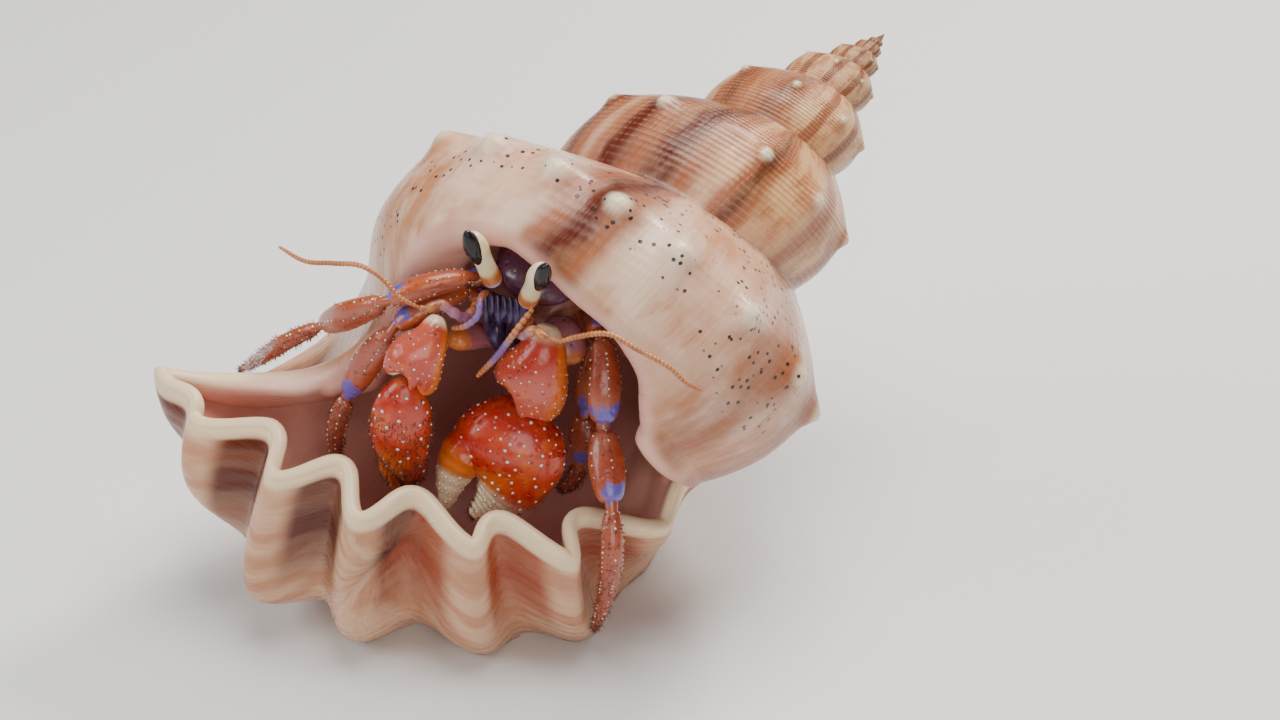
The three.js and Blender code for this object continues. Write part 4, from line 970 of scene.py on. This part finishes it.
# Behind the lobes, finer mouth parts hang side by side from the shield's front edge.
FRINGE_ENDS = np.array([[5.2, 12.6, 46.2], [9.8, 10.6, 46.6]])
FRINGE_PARTS = 7
fringe_limbs = []
for share in np.linspace(0, 1, FRINGE_PARTS):
    top = FRINGE_ENDS[0] * (1 - share) + FRINGE_ENDS[1] * share
    sway = 0.5 * math.sin(share * 23)
    reach = 1 + 0.25 * math.cos(share * 17)
    hang = [top, top + (0.1, -0.6, -2.2 * reach), top + (0.3 - share + sway, 0.2, -4.6 * reach),
            top + (0.6 - 1.6 * share - sway, 1.4, -6.4 * reach)]
    part_grid, _, _ = loft(hang, [0.42, 0.55, 0.5, 0.3], [0.35, 0.5, 0.45, 0.3], rings=40, sides=16)
    fringe_limbs.append((part_grid, {}))
joined_limbs("mouth_fringe", fringe_limbs, lobe_paint.material, "soft_mauve")

# ---- claws ----
# The left claw is the large one. Each has an arm, a wrist plate with a notched lower rim, and a hand
# set with pale granules in dark rings. The large claw's fingers are cream, the small one's dark red.
CLAWS = {
    "left": {
        "arm": ([[13.2, 16.3, 39.7], [14.4, 13.9, 38.1], [14.9, 11.8, 36]], [2.2, 2.8, 2.4], [2, 2.2, 1.8]),
        "wrist": ([[12.9, 9.2, 43.9], [12.2, 8, 41], [10.7, 8, 36.6], [10.1, 8.7, 33.2]],
                  [1.6, 3.2, 4.6, 4.2], [1.6, 2.8, 3.3, 2.6]),
        "rim": ([-1, -0.55, -0.3, -0.05, 0.2, 0.6, 1], [-1.2, -2.2, -1.2, 1.4, 1.1, 1.4, 2.2]),
        "hand": ([[9.3, 10.6, 32.2], [8.4, 9.6, 28.8], [7.8, 8.7, 26], [7.9, 8, 23.5], [7.3, 7.2, 21.3],
                  [5.4, 6.6, 19.1], [2.8, 6.2, 17.3]],
                 [3.6, 6.2, 7.2, 6.6, 4.6, 2.6, 1.3], [2.4, 3.5, 3.9, 3.5, 2.8, 1.9, 1.1]),
        "finger": ([[4.6, 9.2, 28], [2.3, 8.5, 25.2], [0.4, 7.5, 21.2], [-0.2, 6.5, 18]],
                   [3.0, 3.1, 2.0, 1.1], [2.6, 2.6, 1.7, 1]),
        "side": (0.918, -0.229, -0.322), "granules": 330, "cream": 1.0, "spines": 260},
    "right": {
        "arm": ([[6.6, 17.4, 36.8], [3.6, 14.6, 38.4], [1, 11.8, 39.6]], [1.6, 1.9, 1.7], [1.4, 1.6, 1.4]),
        "wrist": ([[-0.2, 8.6, 45.6], [-1.1, 6.8, 43.6], [-2.9, 5.7, 41.1], [-3.7, 5.8, 38.6]],
                  [1.1, 2.3, 3.5, 3.6], [1.1, 1.9, 2.3, 2.1]),
        "rim": ([-1, -0.5, -0.1, 0.1, 0.35, 0.6, 1], [0.2, -1.2, -0.5, 0.8, 0, 0.9, 2.2]),
        "hand": ([[-4.4, 7.3, 37.2], [-5, 7.3, 32.5], [-5.3, 7.4, 28.6], [-4.9, 7.6, 25.1],
                  [-4.3, 8.1, 22.3], [-5.2, 8.5, 19.4]],
                 [2.6, 3.6, 3.8, 3.2, 1.9, 0.9], [1.9, 2.5, 2.7, 2.3, 1.6, 0.8]),
        "finger": ([[-6.4, 7.8, 27.4], [-6.8, 8.2, 23.5], [-6.4, 8.4, 21], [-5.8, 8.8, 18.8]],
                   [1.7, 1.6, 1.2, 0.7], [1.6, 1.4, 1.1, 0.7]),
        "side": (1, 0, 0), "granules": 240, "cream": 0.0, "spines": 900},
}
TOWARD_VIEWER = unit(np.array([0.0, -0.8, 0.55]))
# The claws' hairs lean down and forward by this much, for a normal of length 1.
HAIR_DROOP = np.array([0.0, -0.2, -0.4])
arm_paint = armour_paint("arm_paint", (0.34, 0.10, 0.12, 1), (0.60, 0.16, 0.025, 1), (0.40, 0.16, 0.22, 1))
wrist_paint = armour_paint("wrist_paint", (0.46, 0.035, 0.018, 1), (0.62, 0.13, 0.012, 1),
                           (0.52, 0.085, 0.05, 1))
hand_paint = armour_paint("hand_paint", (0.46, 0.018, 0.006, 1), (0.68, 0.15, 0.010, 1),
                          (0.56, 0.04, 0.010, 1))
claw_granules = granule_paint("claw_granule_paint", (0.74, 0.42, 0.26, 1), (0.16, 0.012, 0.008, 1))
finger_granules = granule_paint("finger_granule_paint", (0.80, 0.66, 0.44, 1), (0.60, 0.42, 0.22, 1))
dark_bristle = bristle_paint("dark_bristle_paint", (0.10, 0.015, 0.01, 1), (0.20, 0.05, 0.025, 1))


def scatter_granules(name, seed, grid, count, where, gap, radii, height, material):
    """Studs on the grid where allowed, their radii drawn evenly between the two given."""
    places, normals, _, chance = scattered(seed, grid, count, where, gap)
    studs(name, places, normals, chance.uniform(*radii, len(places)), height, material,
          "claw_cream")


def scatter_bristles(name, seed, grid, count, where, droop, spread, lengths, radius, slot):
    """Dark hairs on the grid where allowed. Each leans from the normal by droop, one vector for
    all or one for each ring, and by a random spread."""
    places, normals, unwrap, chance = scattered(seed, grid, count, where)
    ring = np.minimum((unwrap[:, 1] * len(grid)).astype(int), len(grid) - 1)
    leaning = normals + np.broadcast_to(droop, (len(grid), 3))[ring]
    lean = unit(leaning + chance.normal(0, spread, normals.shape))
    bristles(name, places, lean, chance.uniform(*lengths, len(places)), radius, dark_bristle, slot,
             unwrap)


def ruffled(grid, along, count, depth):
    """Swells the finger's outline a little, count times along it."""
    centre = grid.mean(1, keepdims=True)
    return centre + (grid - centre) * (1 + depth * np.sin(along * count * 2 * np.pi))[..., None]


def notched(grid, along, angle, rim):
    """Moves the end of a plate along its path by the rim's offsets, which depend on the place
    across it, and folds it back inside as a socket."""
    ahead = unit(grid[-8].mean(0) - grid[-24].mean(0))
    offset = curve_at(np.cos(angle), *rim) * smooth_step(along, 0.5, 0.97)
    plate = grid + offset[..., None] * ahead
    edge = plate[-6]
    middle = edge.mean(0)
    inward = [middle + (edge - middle) * size - ahead * back
              for size, back in ((0.9, 0.1), (0.82, 0.8), (0.6, 2.0))]
    return np.concatenate([plate[:-5], np.array(inward)])


for side_name, claw in CLAWS.items():
    side = claw["side"]
    seed = 11 if side_name == "left" else 12
    grid, along, _ = loft(*claw["arm"], side, rings=50, sides=48)
    values = plain(along)
    values["ridge"] = smooth_step(along, 0.72, 0.9)
    joined_limbs(f"arm_{side_name}", [(grid, values)], arm_paint, "crab_orange",
                 [f"claw_{side_name}_arm"])
    grid, along, angle = loft(*claw["wrist"], side, rings=90, sides=96, blunt=5)
    grid = notched(grid, along, angle, claw["rim"])
    along, angle = along[: len(grid)], angle[: len(grid)]
    values = plain(along)
    rim_band = smooth_step(along, 0.93, 0.975)
    rim_cream = rim_band * smooth_step(-np.cos(angle), -0.35, 0.1) * 0.9
    values["cream"] = np.maximum(1 - smooth_step(along, 0.07, 0.2), rim_cream)
    values["ridge"] = np.maximum(smooth_step(np.abs(np.cos(angle) - 0.9), 0.3, 0.1) * 0.9, rim_band * 0.8)
    # painted shade: the last rings, folded inside the wrist's rim as a socket, are painted near black
    values["dark"] = smooth_step(np.arange(len(grid)), len(grid) - 4, len(grid) - 2)[:, None] + 0.0 * along
    joined_limbs(f"wrist_{side_name}", [(grid, values)], wrist_paint, "crab_orange",
                 [f"claw_{side_name}_wrist"])
    wrist_grid, wrist_along = grid, along
    # the palm narrows into the fixed finger, and the moving finger's root is sunk in its side
    palm, along, angle = loft(*claw["hand"], side, rings=150, sides=100, blunt=3)
    finger_part = smooth_step(along, 0.66, 0.78)
    palm = palm + grid_normals(palm) * (0.12 * finger_part * np.sin(along * 150))[..., None]
    palm_values = plain(along)
    palm_values["ridge"] = smooth_step(along, 0.42, 0.66) * smooth_step(-np.cos(angle), -0.5, 0.6) * 0.9
    palm_values["cream"] = finger_part * claw["cream"]
    joined_limbs(f"hand_{side_name}", [(palm, palm_values)], hand_paint, "claw_red",
                 [f"claw_{side_name}_hand"])
    moving, moving_along, _ = loft(*claw["finger"], side, rings=80, sides=44, blunt=2.6)
    moving = ruffled(moving, moving_along, 7, 0.025)
    moving_values = plain(moving_along)
    moving_values["ridge"] = smooth_step(moving_along, 0.2, 0.4)
    moving_values["cream"] = smooth_step(moving_along, 0.46, 0.6) * claw["cream"]
    joined_limbs(f"finger_{side_name}", [(moving, moving_values)], hand_paint, "claw_cream",
                 [f"claw_{side_name}_finger"])
    # granules cover the outer face of the hand and the wrist
    facing = grid_normals(palm) @ TOWARD_VIEWER
    wrist_facing = grid_normals(wrist_grid) @ TOWARD_VIEWER
    on_palm = (facing > 0.0) & (along > 0.08) & (along < (0.72 if claw["cream"] else 0.9))
    on_wrist = (wrist_facing > 0.0) & (wrist_along > 0.3) & (wrist_along < 0.9)
    scatter_granules(f"hand_granules_{side_name}", seed, palm, claw["granules"], on_palm, gap=1.0,
                     radii=(0.13, 0.27), height=0.7, material=claw_granules)
    scatter_granules(f"wrist_granules_{side_name}", seed + 10, wrist_grid, 90, on_wrist, gap=0.8,
                     radii=(0.09, 0.17), height=0.7, material=claw_granules)
    if claw["cream"]:
        for finger_name, finger, finger_along, start in (("fixed", palm, along, 0.74),
                                                         ("moving", moving, moving_along, 0.5)):
            lit = ((grid_normals(finger) @ TOWARD_VIEWER) > -0.1) & (finger_along > start)
            scatter_granules(f"{finger_name}_finger_granules", seed + 30, finger, 120, lit,
                             gap=0.45, radii=(0.14, 0.24), height=0.5, material=finger_granules)
    # short dark hairs fringe the large claw's edges, and cover the small claw and its finger
    haired = (np.abs(np.cos(angle)) > 0.8) if claw["cream"] else ((along > 0.25) & (facing > -0.3))
    scatter_bristles(f"hand_bristles_{side_name}", seed + 20, palm, claw["spines"], haired,
                     HAIR_DROOP, spread=0.22, lengths=(0.3, 0.85), radius=0.06, slot="claw_red")
    if not claw["cream"]:
        scatter_bristles("small_finger_bristles", seed + 40, moving, 420, moving_along > 0.2,
                         HAIR_DROOP, spread=0.22, lengths=(0.3, 0.8), radius=0.06,
                         slot="claw_red")

# ---- walking legs ----
# Each leg is one skin from the body to the toe, narrow and violet at its soft joints, with rows of
# cream granules and short dark bristles.
LEGS = {
    "front_left": {
        "merus": [[18.4, 19.4, 39], [18.7, 16, 39.8], [19, 12.2, 40.8]],
        "carpus": [[19.1, 10.5, 40.9], [19.4, 7.6, 36.9], [19.3, 5.9, 31.9]],
        "propodus": [[19.3, 5.4, 30.9], [19.8, 2.1, 27.5], [20.3, -0.8, 24.9]],
        "dactyl": [[20.4, -1.5, 24], [20.4, -3.7, 19.9], [19.7, -1.6, 11.6], [18.1, 1.4, 2.9]],
        "size": 1.0, "side": (1, 0, 0)},
    "hind_left": {
        "merus": [[15.6, 25.6, 36.2], [17.2, 23.4, 36.2], [18.4, 20.9, 35.3]],
        "carpus": [[18.5, 19.8, 34.4], [17.7, 18.2, 30.6], [17, 17, 25.8]],
        "propodus": [[16.8, 16.6, 24.8], [16.5, 16.4, 21.4], [16.3, 15.7, 18.7]],
        "dactyl": [[16.1, 15.3, 17.7], [15.3, 15.4, 15.7], [13.6, 15.8, 13.8]],
        "size": 0.8, "side": (1, 0, 0)},
    "front_right": {
        "merus": [[7, 21.8, 42.2], [5.2, 17.6, 45.4], [4, 13.6, 47.8]],
        "carpus": [[3.5, 11.2, 49.4], [-1.1, 10.3, 48.8], [-5.9, 10.1, 46.9]],
        "propodus": [[-7.1, 10.8, 45.9], [-11.3, 14, 42], [-14.9, 17.9, 37.9]],
        "dactyl": [[-16, 18.8, 36.8], [-20.5, 21.2, 32.8], [-25, 27.7, 25.5], [-28, 31.4, 21.2]],
        "size": 0.86, "side": (0.4, -0.5, 0.77)},
    "hind_right": {
        "merus": [[7, 22.6, 37.2], [5.2, 19, 40.4], [3.8, 15.8, 43.9]],
        "carpus": [[3, 14, 45.6], [-1.1, 11.5, 45.3], [-5.4, 9.6, 43.5]],
        "propodus": [[-6.3, 9.3, 42.5], [-9.3, 10.6, 37.2], [-11.8, 11.7, 32]],
        "dactyl": [[-12.3, 11.8, 30.9], [-13.6, 12.4, 26.6], [-14.1, 13.4, 21.9], [-14.2, 14.2, 19.2]],
        "size": 0.86, "side": (0.8, -0.4, 0.4)},
}
LEG_HALF_WIDTHS = {"merus": [1.5, 1.9, 1.6], "carpus": [1.5, 1.9, 2.1, 1.8], "propodus": [1.7, 2.2, 1.7],
                   "dactyl": [1.4, 1.35, 1.1, 0.5]}
LEG_FLATNESS = 0.84
leg_paint = armour_paint("leg_paint", (0.32, 0.045, 0.018, 1), (0.48, 0.09, 0.012, 1), (0.38, 0.10, 0.055, 1))
leg_granules = granule_paint("leg_granule_paint", (0.78, 0.50, 0.28, 1), (0.12, 0.015, 0.01, 1))
for number, (leg_name, leg) in enumerate(LEGS.items()):
    parts, joints, ridges = [], [], []
    for segment, half in LEG_HALF_WIDTHS.items():
        widths = np.array(half) * leg["size"]
        grid, along, angle = loft(leg[segment], widths, widths * LEG_FLATNESS, leg["side"],
                                  rings=44, sides=40, blunt=5, neck=0.5)
        parts.append(grid)
        one_side = smooth_step(np.cos(angle - 1.2), -0.1, 0.9)
        reaching = smooth_step(along, 0.62, 0.86)
        joints.append((0 if segment == "dactyl" else 0.8) * reaching * one_side)
        ridges.append(smooth_step(np.abs(np.cos(angle)), 0.86, 1) * 0.8)
    grid = np.concatenate(parts)
    along = np.linspace(0, 1, len(grid))[:, None]
    values = plain(np.concatenate(joints))
    values["ridge"], values["joint"] = np.concatenate(ridges), np.concatenate(joints)
    # the toe ends in a point
    shrink = np.maximum(1 - smooth_step(along, 0.985, 1.0), 0.12)
    centre = grid.mean(1, keepdims=True)
    grid = centre + (grid - centre) * shrink[..., None]
    joined_limbs(f"leg_{leg_name}_skin", [(grid, values)], leg_paint, "crab_orange",
                 [f"leg_{leg_name}_{segment}" for segment in LEG_HALF_WIDTHS])
    angle = np.broadcast_to(np.linspace(0, 2 * np.pi, grid.shape[1], endpoint=False), grid.shape[:2])
    row = np.abs(np.sin(angle * 2.5)) < 0.12
    body = (values["joint"] < 0.02) & (along > 0.2)
    scatter_granules(f"leg_{leg_name}_granules", 40 + number, grid, 260,
                     row & body & (along < 0.95), gap=0.62, radii=(0.10, 0.19), height=0.8,
                     material=leg_granules)
    forward = unit(np.gradient(grid.mean(1), axis=0))
    scatter_bristles(f"leg_{leg_name}_bristles", 60 + number, grid, 520,
                     (row | (along > 0.78)) & body, forward * 0.8, spread=0.2,
                     lengths=(0.3, 0.75), radius=0.055, slot="crab_orange")

# ---- gripping legs ----
# The two last pairs are tiny and hold on to the inside of the shell, out of sight.
GRIPPERS = {
    "fourth_left": [[18.4, 20.4, 44.2], [20.2, 17.4, 44.8], [21.2, 15.2, 47]],
    "fourth_right": [[9.4, 22.4, 45.4], [7.4, 22.4, 47], [7.4, 21.4, 49]],
    "fifth_left": [[20, 24, 42.4], [22.4, 21.8, 43.4], [23.2, 20, 46]],
    "fifth_right": [[12.4, 26, 44.4], [10.6, 26.2, 46.4], [10.8, 25.2, 48.6]],
}
for name, path in GRIPPERS.items():
    grid, along, _ = loft(path, [0.9, 0.85, 0.6], [0.8, 0.75, 0.5], rings=30, sides=20)
    values = plain(along)
    joined_limbs(f"gripper_{name}", [(grid, values)], leg_paint, "crab_orange", [f"leg_{name}"])
